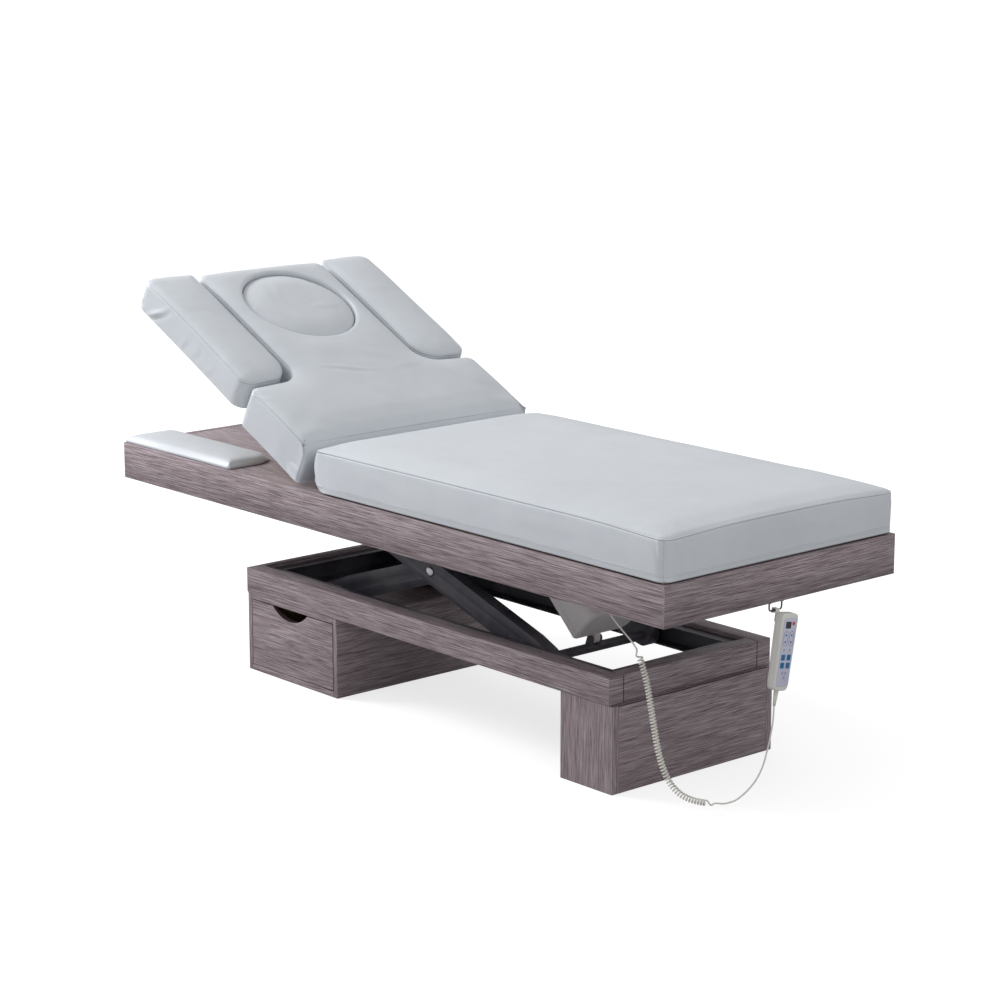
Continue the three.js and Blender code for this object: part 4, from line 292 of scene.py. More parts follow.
# Textures of noise: stretch, scale, detail, roughness and distortion
TEXTURES = {
    "oak_bands": ((1, 15, 15), 1.8, 2.0, 0.5, 0.3),
    "oak_streaks": ((1, 68, 68), 13.0, 3.0, 0.6, 0.15),
    "oak_threads": ((1, 70, 70), 22.0, 2.0, 0.6),
    "oak_pores": ((1, 24, 24), 45.0, 1.0, 0.5),
    "oak_clouds": (None, 5.0, 2.0, 0.5),
    "vinyl_grain": (None, 900.0, 2.0, 0.5),
    "vinyl_creases": ((1, 1, 1.4), 26.0, 3.0, 0.55, 0.6),
    "vinyl_clouds": (None, 6.0, 2.0, 0.5),
    "ragged_edges": (None, 160.0, 3.0, 0.6),
    "dust": (None, 9.0, 3.0, 0.6),
    "patches": (None, 14.0, 2.0, 0.5),
}
# Ramps: two values of a texture, and what they become where that isn't 0 and 1
RAMPS = {
    "light_streaks": (0.51, 0.65),
    "dark_streaks": (0.49, 0.36),
    "threads": (0.56, 0.72, 0.0, 0.75),
    "pores": (0.38, 0.26, 0.0, 0.6),
    "oak_bands": (0.3, 0.7, -0.06, 0.06),
    "oak_clouds": (0.3, 0.7, -0.03, 0.03),
    "oak_roughness": (0.3, 0.7, 0.62, 0.5),
    "vinyl_clouds": (0.35, 0.68, 0.0, 0.4),
    "vinyl_creases": (0.3, 0.62, 0.25, 0.0),
    "vinyl_roughness": (0.3, 0.7, 0.36, 0.46),
    "ragged_edges": (0.3, 0.7, 0.004, 0.05),
    "edge": (0.0, 0.05),
    "dust": (0.45, 0.75),
    "patches": (0.3, 0.7, 0.0, 0.35),
}
OAK_RELIEF = 0.6
PEBBLES_PER_METRE = 620.0
PEBBLE_RELIEF = 0.5
GRAIN_RELIEF = 0.22
CREASE_RELIEF = 1.4
EDGE_RADIUS = 0.0016
# Places of a mix node's two inputs and of its output
MIX_PLACES = {"RGBA": (6, 7, 2), "VECTOR": (4, 5, 1)}
FLOAT, COLOUR, VECTOR = "NodeSocketFloat", "NodeSocketColor", "NodeSocketVector"
GROUPS = {}


class Tree:
    """Short calls for the nodes of a material or a group."""

    def __init__(self, tree):
        self.tree = tree

    def feed(self, node, inputs):
        """Give a node's inputs their values, or links from other nodes."""
        for key, value in inputs.items():
            if isinstance(value, bpy.types.NodeSocket):
                self.tree.links.new(value, node.inputs[key])
            else:
                node.inputs[key].default_value = value

    def node(self, kind, inputs=None, **settings):
        made = self.tree.nodes.new(kind)
        for key, value in settings.items():
            setattr(made, key, value)
        self.feed(made, inputs or {})
        return made

    def group(self, name, inputs):
        return self.node("ShaderNodeGroup", inputs, node_tree=GROUPS[name]).outputs

    def math(self, operation, a, b=0.0):
        return self.node("ShaderNodeMath", {0: a, 1: b}, operation=operation).outputs[0]

    def ramp(self, value, low, high, to_low=0.0, to_high=1.0):
        made = self.node("ShaderNodeMapRange", {
            "Value": value, "From Min": low, "From Max": high, "To Min": to_low, "To Max": to_high,
        })
        return made.outputs["Result"]

    def noise(self, vector, stretch, scale, detail, roughness, distortion=0.0):
        if stretch:
            mapped = self.node("ShaderNodeMapping", {"Vector": vector, "Scale": stretch})
            vector = mapped.outputs["Vector"]
        made = self.node("ShaderNodeTexNoise", {
            "Vector": vector, "Scale": scale, "Detail": detail, "Roughness": roughness,
            "Distortion": distortion,
        })
        return made.outputs["Fac"]

    def texture(self, name, vector):
        return self.noise(vector, *TEXTURES[name])

    def mix(self, factor, a, b, blend="MIX", kind="RGBA"):
        first, second, result = MIX_PLACES[kind]
        inputs = {0: factor, first: a, second: b}
        made = self.node("ShaderNodeMix", data_type=kind, blend_type=blend)
        self.feed(made, inputs)
        return made.outputs[result]

    def place(self):
        """The place on the object in its own frame."""
        return self.node("ShaderNodeTexCoord").outputs["Object"]

    def along(self, vector, axis):
        """The vector turned so that its X runs along the named axis."""
        order = {"x": (0, 1, 2), "y": (1, 0, 2), "z": (2, 0, 1)}[axis]
        parts = self.node("ShaderNodeSeparateXYZ", {0: vector}).outputs
        turned = {i: parts[k] for i, k in enumerate(order)}
        return self.node("ShaderNodeCombineXYZ", turned).outputs[0]

    def bump(self, height, strength, distance):
        made = self.node(
            "ShaderNodeBump", {"Height": height, "Strength": strength, "Distance": distance}
        )
        return made.outputs["Normal"]


def new_group(name, inputs, outputs):
    """A node group with named sockets, given as name: kind, with its two ends."""
    group = bpy.data.node_groups.new(name, "ShaderNodeTree")
    for way, sockets in (("INPUT", inputs), ("OUTPUT", outputs)):
        for label, kind in sockets.items():
            group.interface.new_socket(label, in_out=way, socket_type=kind)
    entry, out = (group.nodes.new(kind) for kind in ("NodeGroupInput", "NodeGroupOutput"))
    return Tree(group), entry.outputs, out


def wood_group():
    """Fine streaks of greyed oak, which run along the vector's X."""
    t, entry, out = new_group(
        "grey_oak_streaks",
        {"Vector": VECTOR, "Body": COLOUR, "Light": COLOUR, "Dark": COLOUR},
        {"Color": COLOUR, "Height": FLOAT, "Roughness": FLOAT},
    )
    bands, streaks, threads, pores, clouds = (
        t.texture("oak_" + part, entry["Vector"])
        for part in ("bands", "streaks", "threads", "pores", "clouds")
    )
    pore = t.ramp(pores, *RAMPS["pores"])
    colour = entry["Body"]
    for amount, tone in (
        (t.ramp(streaks, *RAMPS["light_streaks"]), "Light"),
        (t.ramp(streaks, *RAMPS["dark_streaks"]), "Dark"),
        (t.ramp(threads, *RAMPS["threads"]), "Light"),
        (pore, "Dark"),
    ):
        colour = t.mix(amount, colour, entry[tone])
    shade = t.math(
        "ADD", t.ramp(bands, *RAMPS["oak_bands"]), t.ramp(clouds, *RAMPS["oak_clouds"])
    )
    t.feed(out, {
        "Color": t.mix(1.0, colour, t.math("ADD", 1.0, shade), "MULTIPLY"),
        "Height": t.math("MULTIPLY", t.math("SUBTRACT", streaks, pore), OAK_RELIEF),
        "Roughness": t.ramp(streaks, *RAMPS["oak_roughness"]),
    })
    return t.tree


def vinyl_group():
    """Upholstery vinyl: pebbled grain, faint creases and slow changes of tone."""
    t, entry, out = new_group(
        "upholstery_vinyl",
        {"Vector": VECTOR, "Tone": COLOUR, "Shade": COLOUR},
        {"Color": COLOUR, "Height": FLOAT, "Roughness": FLOAT},
    )
    v = entry["Vector"]
    cells = t.node("ShaderNodeTexVoronoi", {"Vector": v, "Scale": PEBBLES_PER_METRE}, feature="F1")
    grain, creases, clouds = (
        t.texture("vinyl_" + part, v) for part in ("grain", "creases", "clouds")
    )
    amount = t.math(
        "ADD", t.ramp(clouds, *RAMPS["vinyl_clouds"]), t.ramp(creases, *RAMPS["vinyl_creases"])
    )
    height = t.math("MULTIPLY", cells.outputs["Distance"], PEBBLE_RELIEF)
    for part, relief in ((grain, GRAIN_RELIEF), (creases, CREASE_RELIEF)):
        height = t.math("ADD", height, t.math("MULTIPLY", part, relief))
    t.feed(out, {
        "Color": t.mix(amount, entry["Tone"], entry["Shade"]),
        "Height": height,
        "Roughness": t.ramp(grain, *RAMPS["vinyl_roughness"]),
    })
    return t.tree


def edge_group():
    """Edges of another tone where the surface turns, and dust in slow patches. The edge tone is
    wear on plain surfaces, and on the oak a painted highlight on the platform and dark banding with
    painted shade on the base.
    """
    t, entry, out = new_group(
        "wear_dust_and_painted_edges",
        {"Color": COLOUR, "Wear And Painted Edge Tone": COLOUR, "Dust": COLOUR, "Wear And Painted Edge Amount": FLOAT,
         "Dust Amount": FLOAT, "Vector": VECTOR},
        {"Color": COLOUR},
    )
    flat = t.node("ShaderNodeNewGeometry").outputs["Normal"]
    rounded_off = t.node("ShaderNodeBevel", {"Radius": EDGE_RADIUS}, samples=4).outputs["Normal"]
    same = t.node("ShaderNodeVectorMath", {0: flat, 1: rounded_off}, operation="DOT_PRODUCT")
    turned = t.math("SUBTRACT", 1.0, same.outputs["Value"])
    ragged = t.ramp(t.texture("ragged_edges", entry["Vector"]), *RAMPS["ragged_edges"])
    edge = t.ramp(t.math("SUBTRACT", turned, ragged), *RAMPS["edge"])
    dusty = t.ramp(t.texture("dust", entry["Vector"]), *RAMPS["dust"])
    colour = t.mix(t.math("MULTIPLY", dusty, entry["Dust Amount"]), entry["Color"], entry["Dust"])
    colour = t.mix(t.math("MULTIPLY", edge, entry["Wear And Painted Edge Amount"]), colour, entry["Wear And Painted Edge Tone"])
    t.feed(out, {"Color": colour})
    return t.tree


GROUPS.update(wood=wood_group(), vinyl=vinyl_group(), edge=edge_group())


def new_material(name):
    material = bpy.data.materials.new(name)
    material.use_nodes = True
    material.node_tree.nodes.clear()
    t = Tree(material.node_tree)
    shader = t.node("ShaderNodeBsdfPrincipled")
    t.node("ShaderNodeOutputMaterial", {"Surface": shader.outputs[0]})
    return material, t, shader


OAK = {"Body": linear(143, 129, 132), "Light": linear(186, 173, 179), "Dark": linear(86, 72, 76)}
# Painted highlight: the platform boards' edges are light, for the highlight along them
EDGE_PAINTED_HIGHLIGHT = linear(182, 170, 170)
# Dark brown on the base boards' edges: partly their dark edge banding, partly painted shade of the
# grooves at their joints
EDGE_BAND_AND_JOINT_SHADE = linear(70, 54, 52)
# Dark edge band of the drawer front, which also paints the shade in the gap round it
EDGE_BAND_AND_GAP_SHADE = linear(56, 45, 46)
# How squarely a face looks along an axis before it counts as an end or as the front
END_FACING = 0.7
FRONT_FACING = 0.5
# Plain surfaces: swing of the roughness, tone of the darker patches and of the worn edges
ROUGHNESS_SWING = 0.05
SHADED = 0.82
WORN_GAIN = 1.5
WORN_LIFT = 0.02
PLAIN_RELIEF = 0.0003


def wood_material(name, grain, end_grain, edge, front=None):
    """Streaked laminate whose grain runs along one axis, and along another on its end faces.

    With a front axis, every face that doesn't look along it has a dark edge band, which also paints
    the shade in the gap round it.
    """
    material, t, shader = new_material(name)
    place = t.place()
    face = t.node("ShaderNodeNewGeometry").outputs["True Normal"]
    normal = t.node("ShaderNodeSeparateXYZ", {0: face}).outputs
    facing = lambda axis: t.math("ABSOLUTE", normal["xyz".index(axis)])
    on_end = t.math("GREATER_THAN", facing(grain), END_FACING)
    turned = t.mix(on_end, t.along(place, grain), t.along(place, end_grain), kind="VECTOR")
    oak = t.group("wood", {"Vector": turned, **OAK})
    # On the oak the edge tone is painted: a highlight on the platform's edges, dark banding with
    # painted shade on the base's
    colour = t.group("edge", {
        "Color": oak["Color"], "Wear And Painted Edge Tone": edge, "Dust": linear(160, 152, 166), "Wear And Painted Edge Amount": 0.6,
        "Dust Amount": 0.10, "Vector": place,
    })["Color"]
    # Painted shade: the drawer front's narrow edges are dark, for the gap round it
    if front:
        colour = t.mix(t.math("LESS_THAN", facing(front), FRONT_FACING), colour, EDGE_BAND_AND_GAP_SHADE)
    t.feed(shader, {
        "Base Color": colour, "Roughness": oak["Roughness"], "Specular IOR Level": 0.35,
        "Normal": t.bump(oak["Height"], strength=0.35, distance=0.0006),
    })
    return material


def vinyl_material(name, tone, shade):
    material, t, shader = new_material(name)
    vinyl = t.group("vinyl", {"Vector": t.place(), "Tone": linear(*tone), "Shade": linear(*shade)})
    t.feed(shader, {
        "Base Color": vinyl["Color"], "Roughness": vinyl["Roughness"], "Specular IOR Level": 0.45,
        "Sheen Weight": 0.08,
        "Normal": t.bump(vinyl["Height"], strength=0.22, distance=0.0007),
    })
    return material


def plain_material(name, rgb, roughness, metallic=0.0, scale=240.0, strength=0.15,
                   worn=None, wear=0.3, dust=0.08, stretch=None, specular=0.5, coat=0.0):
    """Moulded, plated or powder-coated surfaces: a fine texture with worn edges and light dust."""
    material, t, shader = new_material(name)
    place = t.place()
    colour = linear(*rgb)
    if worn:
        worn = linear(*worn)
    else:
        worn = (*(min(1, c * WORN_GAIN + WORN_LIFT) for c in colour[:3]), 1)
    texture = t.noise(place, stretch, scale, detail=3.0, roughness=0.55)
    patches = t.ramp(t.texture("patches", place), *RAMPS["patches"])
    edged = t.group("edge", {
        "Color": t.mix(patches, colour, (*(c * SHADED for c in colour[:3]), 1)), "Wear And Painted Edge Tone": worn,
        "Dust": linear(176, 172, 172), "Wear And Painted Edge Amount": wear, "Dust Amount": dust, "Vector": place,
    })
    rough = t.ramp(texture, 0.3, 0.7, roughness - ROUGHNESS_SWING, roughness + ROUGHNESS_SWING)
    t.feed(shader, {
        "Base Color": edged["Color"], "Roughness": rough, "Metallic": metallic,
        "Specular IOR Level": specular, "Coat Weight": coat,
        "Normal": t.bump(texture, strength, PLAIN_RELIEF),
    })
    return material


MATERIALS = {
    "top_x": wood_material("platform_oak_lengthwise", "x", "y", EDGE_PAINTED_HIGHLIGHT),
    "top_y": wood_material("platform_oak_crosswise", "y", "z", EDGE_PAINTED_HIGHLIGHT),
    "base_x": wood_material("base_oak_lengthwise", "x", "y", EDGE_BAND_AND_JOINT_SHADE),
    "base_y": wood_material("base_oak_crosswise", "y", "z", EDGE_BAND_AND_JOINT_SHADE),
    "base_z": wood_material("base_oak_upright", "z", "x", EDGE_BAND_AND_JOINT_SHADE),
    "drawer": wood_material("drawer_oak", "x", "z", EDGE_BAND_AND_JOINT_SHADE, front="y"),
    "vinyl": vinyl_material("pale_grey_vinyl", (208, 213, 219), (198, 203, 210)),
    # Darker copy of the vinyl that paints the shade in the bottom of the seams
    "seam": vinyl_material("vinyl_painted_seam_shade", (184, 189, 195), (166, 171, 178)),
    "thread": plain_material("grey_thread", (158, 162, 168), 0.7, scale=2500.0, dust=0.0),
    "plywood": plain_material(
        "plain_plywood", (186, 160, 126), 0.7, scale=60.0, stretch=(1, 12, 12), strength=0.3,
    ),
    "steel": plain_material(
        "dark_powder_coat", (72, 70, 79), 0.42, scale=900.0, strength=0.35,
        worn=(112, 110, 118), wear=0.35, dust=0.16, specular=0.4,
    ),
    "chrome": plain_material(
        "bright_plating", (200, 200, 205), 0.22, metallic=1.0, scale=120.0, strength=0.05,
        wear=0.1, dust=0.03,
    ),
    "motor": plain_material(
        "pale_grey_housing", (238, 233, 234), 0.48, scale=1100.0, strength=0.25,
        worn=(236, 233, 232), wear=0.2, dust=0.1,
    ),
    "rubber": plain_material(
        "black_rubber", (30, 30, 32), 0.7, scale=700.0, strength=0.3, dust=0.2, specular=0.3,
    ),
    "handset": plain_material(
        "off_white_handset", (228, 226, 220), 0.42, scale=1300.0, strength=0.12,
        wear=0.1, dust=0.03,
    ),
    "keypad": plain_material(
        "pale_keypad", (206, 206, 226), 0.32, scale=1500.0, strength=0.08, wear=0.05, dust=0.0,
        coat=0.3,
    ),
    "window": plain_material(
        "dark_window", (34, 34, 40), 0.2, scale=1500.0, strength=0.04, dust=0.05, coat=0.6,
    ),
    "red_key": plain_material("red_key", (196, 44, 52), 0.35, scale=1500.0, dust=0.0, coat=0.3),
    "blue_key": plain_material("blue_key", (24, 112, 168), 0.35, scale=1500.0, dust=0.0, coat=0.3),
    # Painted shade for the gaps at the base's joints
    "gap_shade_band": plain_material("dark_gap_shade_band", (40, 34, 38), 0.6, scale=900.0, dust=0.04),
    "ink": plain_material("grey_blue_ink", (74, 84, 116), 0.5, scale=1500.0, dust=0.0),
    "cord": plain_material(
        "pale_cord_jacket", (230, 228, 219), 0.5, scale=600.0, strength=0.12, dust=0.06,
    ),
}

make_cord(MATERIALS["cord"])


# Upholstery. Each cushion is a skin of rings about a rounded outline, in millimetres in its own
# frame: the rings of its wall rise from the underside to the seam, and its top panel swells from
# the seam to the crown. A nose is an edge that the cover wraps round without a seam.
PLATFORM_TOP = 527.485
HINGE = Vector((-232.6, 0, PLATFORM_TOP + 36.5))
BACK_LEAN = math.radians(26.5)
ARC_STEPS = 12
SIDE_PULL = 1.6
LONG_EDGE = 100
# Wall: the underside's edge as heights and insets in shares of its size, and an inset more
EDGE_ROWS = ((0.0, 1.0, 0.0), (0.25, 0.38, 0.0), (0.8, 0.0, 0.3))
EDGE_CLEAR = 3
SEAM_CLEAR = 9
ROW_SPACING = 8.0
SIDE_BELLY = 0.8
HEM_ROWS = ((-3, 0), (0, 0.15), (3, 0))
HEM_CLEAR = 3.6
# Seams: heights and shares of the groove's rings, and shares beside an upright seam
SEAM_DEPTH = 1.7
GROOVE_ROWS = ((-5.5, 0.0), (-2.6, 0.25), (-1.0, 0.8), (0.0, 1.0), (0.7, 0.85))
GROOVE_HELD = 4
# Rings counted down from the seam whose faces are painted darker, as the shade in the groove
GROOVE_SHADE_ROWS = (3, 2)
COLUMN_DEPTH = 1.6
COLUMN_SHARES = ((-2, 0.1), (-1, 0.45), (0, 1.0), (1, 0.45), (2, 0.1))
FADE_STEPS = 4
# Top panel: insets of its rings, and how its rise divides between its edge and its width
TOP_INSETS = (1.2, 2.0, 3.4, 5.6, 8.8, 12.5)
EDGE_SWELL = 7.0
EDGE_SHARE = 0.62
# Hole: how far out and how deep the rings of its rim and lining lie
HOLE_ROWS = ((9.0, 0.0), (5.0, 0.6), (2.6, 1.8), (1.1, 3.8), (0.3, 7.0), (0.0, 12.0), (0.0, 40.0))
HOLE_STEPS = 112
HOLE_HELD = 6
# Filling of flat areas: the grid's row height and its distance from the edges, in spacings
GRID_ROW = 0.87
GRID_CLEAR = 0.6


def backrest_place(p):
    c, s = math.cos(BACK_LEAN), math.sin(BACK_LEAN)
    turned = Vector((p[0] * c + p[2] * s, p[1], -p[0] * s + p[2] * c)) + HINGE
    return platform_place(turned)


def rounded(corners, insets, counts):
    """A rounded outline: anticlockwise corners (x, y, radius), with an inset for each edge."""
    size = len(corners)
    lines = []
    for i, corner in enumerate(corners):
        after = corners[(i + 1) % size]
        along = Vector((after[0] - corner[0], after[1] - corner[1])).normalized()
        lines.append((Vector(corner[:2]) + Vector((-along.y, along.x)) * insets[i], along))
    arcs = []
    for i, corner in enumerate(corners):
        (p0, d0), (p1, d1) = lines[i - 1], lines[i]
        turn = d0.cross(d1)
        tip = p0 + d0 * ((p1 - p0).cross(d1) / turn)
        side = 1 if turn > 0 else -1
        radius = max(corner[2] - side * (insets[i - 1] + insets[i]) / 2, 1.0)
        angle = math.acos(max(-1.0, min(1.0, d0.dot(d1))))
        start = tip - d0 * (radius * math.tan(angle / 2))
        centre = start + Vector((-d0.y, d0.x)) * (radius * side)
        spoke = start - centre
        turns = [Matrix.Rotation(side * angle * k / ARC_STEPS, 2) for k in range(ARC_STEPS + 1)]
        arcs.append([centre + t @ spoke for t in turns])
    ring = []
    for i in range(size):
        ring += [tuple(p) for p in arcs[i]]
        a, b = arcs[i][-1], arcs[(i + 1) % size][0]
        inward = Vector((-lines[i][1].y, lines[i][1].x))
        pull = SIDE_PULL if (b - a).length > LONG_EDGE else 0
        for k in range(1, counts[i] + 1):
            t = k / (counts[i] + 1)
            ring.append(tuple(a + (b - a) * t + inward * (pull * 4 * t * (1 - t))))
    return np.array(ring)


def ellipse(middle, half, inset, steps=HOLE_STEPS):
    turn = np.arange(steps) * 2 * math.pi / steps
    return np.column_stack([middle[0] + (half[0] - inset) * np.cos(turn),
                            middle[1] + (half[1] - inset) * np.sin(turn)])


def inward_of(ring):
    """Unit directions that point into an anticlockwise ring."""
    way = np.roll(ring, -1, axis=0) - np.roll(ring, 1, axis=0)
    way /= np.linalg.norm(way, axis=1)[:, None] + 1e-9
    return np.column_stack([-way[:, 1], way[:, 0]])


def distance_to(points, line):
    """How far each point is from a line of places in the plane."""
    best = np.full(len(points), 1e9)
    for a, b in zip(line[:-1], line[1:]):
        span = b - a
        t = np.clip(((points - a) @ span) / (span @ span + 1e-12), 0, 1)
        away = points - (a + t[:, None] * span)
        best = np.minimum(best, np.einsum("ij,ij->i", away, away))
    return np.sqrt(best)


def inside(points, ring):
    """Which points lie inside a closed ring."""
    x, y = points[:, 0], points[:, 1]
    found = np.zeros(len(points), bool)
    for a, b in zip(ring, np.roll(ring, -1, axis=0)):
        if a[1] != b[1]:
            crosses = (a[1] > y) != (b[1] > y)
            found ^= crosses & (x < (b[0] - a[0]) * (y - a[1]) / (b[1] - a[1]) + a[0])
    return found


def closed(ring):
    return np.vstack([ring, ring[:1]])


def fill_area(ring, spacing, hole=None):
    """Points and triangles of the area inside a ring, without the area of the hole."""
    bounds = [ring] if hole is None else [ring, hole]
    points, edges = [], []
    for line in bounds:
        start = len(points)
        points += [tuple(p) for p in line]
        edges += [(start + i, start + (i + 1) % len(line)) for i in range(len(line))]
    if spacing:
        low, high = ring.min(axis=0), ring.max(axis=0)
        xs = np.arange(low[0], high[0], spacing)
        ys = np.arange(low[1], high[1], spacing * GRID_ROW)
        grid = np.array([(x + (j % 2) * spacing / 2, y) for j, y in enumerate(ys) for x in xs])
        keep = inside(grid, ring)
        if hole is not None:
            keep &= ~inside(grid, hole)
        for line in bounds:
            keep &= distance_to(grid, closed(line)) > spacing * GRID_CLEAR
        points += [tuple(p) for p in grid[keep]]
    flat, _, faces, source, _, _ = delaunay_2d_cdt([Vector(p) for p in points], edges, [], 1, 1e-6)
    triangles = []
    for face in faces:
        middle = np.mean([tuple(flat[i]) for i in face], axis=0)
        if hole is None or not inside(middle[None], hole)[0]:
            triangles.append([source[i][0] for i in face])
    return np.array(points), triangles


class Form:
    """One cushion's cover, built from its description."""

    def __init__(self, about):
        self.about = about
        self.nose = about.get("nose")
        self.hole = about.get("hole")
        self.columns = about.get("columns", ())
        self.seam = about["seam"]
        self.rise = about["top"] - about["seam"]
        base = self.outline(0, self.drawn(self.seam))
        self.size = len(base)
        first, last = about.get("seamed", (0, self.size))
        self.seamed = [i % self.size for i in range(first, last + 1)]
        self.seam_line = base[self.seamed]
        self.mask = np.zeros(self.size)
        for i in range(first - FADE_STEPS, last + FADE_STEPS + 1):
            fade = 1 - max(first - i, i - last, 0) / FADE_STEPS
            self.mask[i % self.size] = max(self.mask[i % self.size], fade)
        rows = self.wall_rows()
        self.walls = len(rows)
        self.rings = [self.wall_ring(*row) for row in rows]
        self.rings += [self.top_ring(inset) for inset in TOP_INSETS]
        self.points, self.faces = [], []
        for level, ring in enumerate(self.rings):
            start = self.add(ring)
            if level:
                self.faces += bridge(start - self.size, start, self.size)
        self.close_top()
        self.close_bottom()

    def outline(self, inset, drawn=0.0):
        about = self.about
        if "ellipse" in about:
            return ellipse(*about["ellipse"], inset)
        insets = [inset] * len(about["corners"])
        if self.nose:
            insets[self.nose["edge"]] = max(inset, drawn)
        return rounded(about["corners"], insets, about["counts"])

    def drawn(self, z):
        """How far the nose has drawn back at a height."""
        if not self.nose:
            return 0.0
        radius, away = self.nose["radius"], z - self.nose["middle"]
        if away < 0 and not self.nose["full"]:
            return 0.0
        return radius - math.sqrt(max(radius**2 - min(abs(away), radius) ** 2, 0))

    def add(self, points):
        """Take more points, and say where they start."""
        start = len(self.points)
        self.points += [tuple(p) for p in points]
        return start

    def wall_rows(self):
        """Heights, insets and groove shares of the wall's rings."""
        bottom, edge = self.about["bottom"], self.about["edge"]
        rows = [(bottom + edge * up, edge * share + more, 0) for up, share, more in EDGE_ROWS]
        low, high = bottom + edge + EDGE_CLEAR, self.seam - SEAM_CLEAR
        if high <= low:
            return rows + [(self.seam, 0.0, 0)]
        count = max(1, round((high - low) / ROW_SPACING))
        for k in range(count + 1):
            t = k / count
            rows.append((low + (high - low) * t, SIDE_BELLY * (1 - math.sin(math.pi * t)), 0))
        if "hem" in self.about:
            hem = bottom + self.about["hem"]
            rows = [row for row in rows if abs(row[0] - hem) > HEM_CLEAR or row[0] < low]
            rows += [(hem + shift, SIDE_BELLY, groove) for shift, groove in HEM_ROWS]
            rows.sort()
        return rows + [(self.seam + shift, SIDE_BELLY, groove) for shift, groove in GROOVE_ROWS]

    def wall_ring(self, z, inset, groove):
        ring = self.outline(inset, self.drawn(z))
        depth = SEAM_DEPTH * groove * self.mask * self.about["groove"]
        for column in self.columns:
            for step, share in COLUMN_SHARES:
                k = (column + step) % self.size
                depth[k] = max(depth[k], COLUMN_DEPTH * share)
        ring = ring + inward_of(ring) * depth[:, None]
        return np.column_stack([ring, np.full(self.size, z)])

    def top_ring(self, inset):
        ring = self.outline(inset, self.drawn(self.seam) + inset)
        return np.column_stack([ring, self.height(ring)])

    def in_seam_shade(self):
        """Faces in the bottom of the seams, painted darker as the shade in the fold."""
        if not self.about["groove"]:
            return []
        deep = [i for i in range(self.size) if self.mask[i] == self.mask[(i + 1) % self.size] == 1]
        return [(self.walls - down) * self.size + i for down in GROOVE_SHADE_ROWS for i in deep]

    def height(self, points):
        """The top panel's height over the seam, from how far a place is from its edges."""
        away = distance_to(points, self.seam_line)
        wide = 1 - (1 - np.clip(away / self.about["spread"], 0, 1)) ** 2
        share = EDGE_SHARE * (1 - np.exp(-away / EDGE_SWELL)) + (1 - EDGE_SHARE) * wide
        if self.nose:
            radius, middle = self.nose["radius"], self.nose["middle"]
            run = np.clip((points[:, 0] - self.nose["place"]) * self.nose["sign"], 0, radius)
            arch = middle + np.sqrt(np.maximum(radius**2 - (radius - run) ** 2, 0))
            share = share * np.clip((arch - self.seam) / self.rise, 0, 1)
        return self.seam + self.rise * share

    def close_top(self):
        last = len(self.points) - self.size
        rim = ellipse(*self.hole, -HOLE_ROWS[0][0]) if self.hole else None
        flat, triangles = fill_area(self.rings[-1][:, :2], self.about["spacing"], rim)
        extra = flat[self.size :]
        before = self.add(np.column_stack([extra, self.height(extra)]))
        self.faces += [tuple(last + i for i in face) for face in triangles]
        if self.hole:
            self.line_hole(before, rim)

    def line_hole(self, before, rim):
        """The cover rolls over the hole's rim and down its wall."""
        floor = self.about["hollow"][0]
        crown = self.height(rim)
        for out, sink in HOLE_ROWS[1:] + ((0.0, None),):
            z = np.full(HOLE_STEPS, floor) if sink is None else np.maximum(crown - sink, floor + 1)
            now = self.add(np.column_stack([ellipse(*self.hole, -out), z]))
            self.faces += bridge(now, before, HOLE_STEPS, True)
            before = now
        self.hole_floor = before

    def close_bottom(self):
        before = 0
        ring = self.rings[0][:, :2]
        if "hollow" in self.about:
            level, insets = self.about["hollow"]
            ring = rounded(self.about["corners"], insets, self.about["counts"])
            for z in (self.about["bottom"], level):
                now = self.add(np.column_stack([ring, np.full(self.size, z)]))
                self.faces += bridge(before, now, self.size, True)
                before = now
        _, triangles = fill_area(ring, 0, ellipse(*self.hole, 0) if self.hole else None)
        for face in triangles:
            self.faces.append(tuple(before + i if i < self.size else self.hole_floor + i - self.size
                                    for i in face[::-1]))

    def held(self):
        """How firmly the seams, the underside and the hole's lining hold each point."""
        size, walls, top = self.size, self.walls, len(self.rings) * self.size
        points = np.array(self.points)
        share = np.ones(len(points))
        share[len(EDGE_ROWS) * size : walls * size] = 0
        if self.about["groove"]:
            rows = np.tile(self.mask, GROOVE_HELD + 1)
            share[(walls - GROOVE_HELD) * size : (walls + 1) * size] = rows
        share[(walls + 1) * size : top] = 0
        share[top:] = points[top:, 2] < self.seam
        if self.hole:
            lining = distance_to(points[:, :2], closed(ellipse(*self.hole, 0)))
            share[lining < HOLE_HELD] = 1
        for column in self.columns:
            share[column : walls * size : size] = 1
        return share


CLOTH_FRAMES = 16
CLOTH_PRESSURE = 3.0
TOP_GIVE = 5.0
WALL_GIVE = 1.6
EVENING_ROUNDS = 5
NOSE_SLACK = 3.0
NOSE_SPAN = 1.6
# Creases: how far and how often they wander, the ridge's offset, and the valley beside it
CREASE_WANDER = 0.5
CREASE_WAVES = 2.2
CREASE_OFFSET = 0.6
CREASE_VALLEY = 0.85
CREASE_DEPTH = 12
# Unevenness: spans and heights, and where it begins over the underside and under the seam
UNEVEN = ((95, 0.9), (31, 0.25))
WALL_SHARE = 0.6
TOP_FADE = 0.6
SEAM_CALM = 4
SEAM_FADE = 8
FOOT_FADE = 12
UNDERSIDE_FACING = -0.3
BAR_SIDES = 16


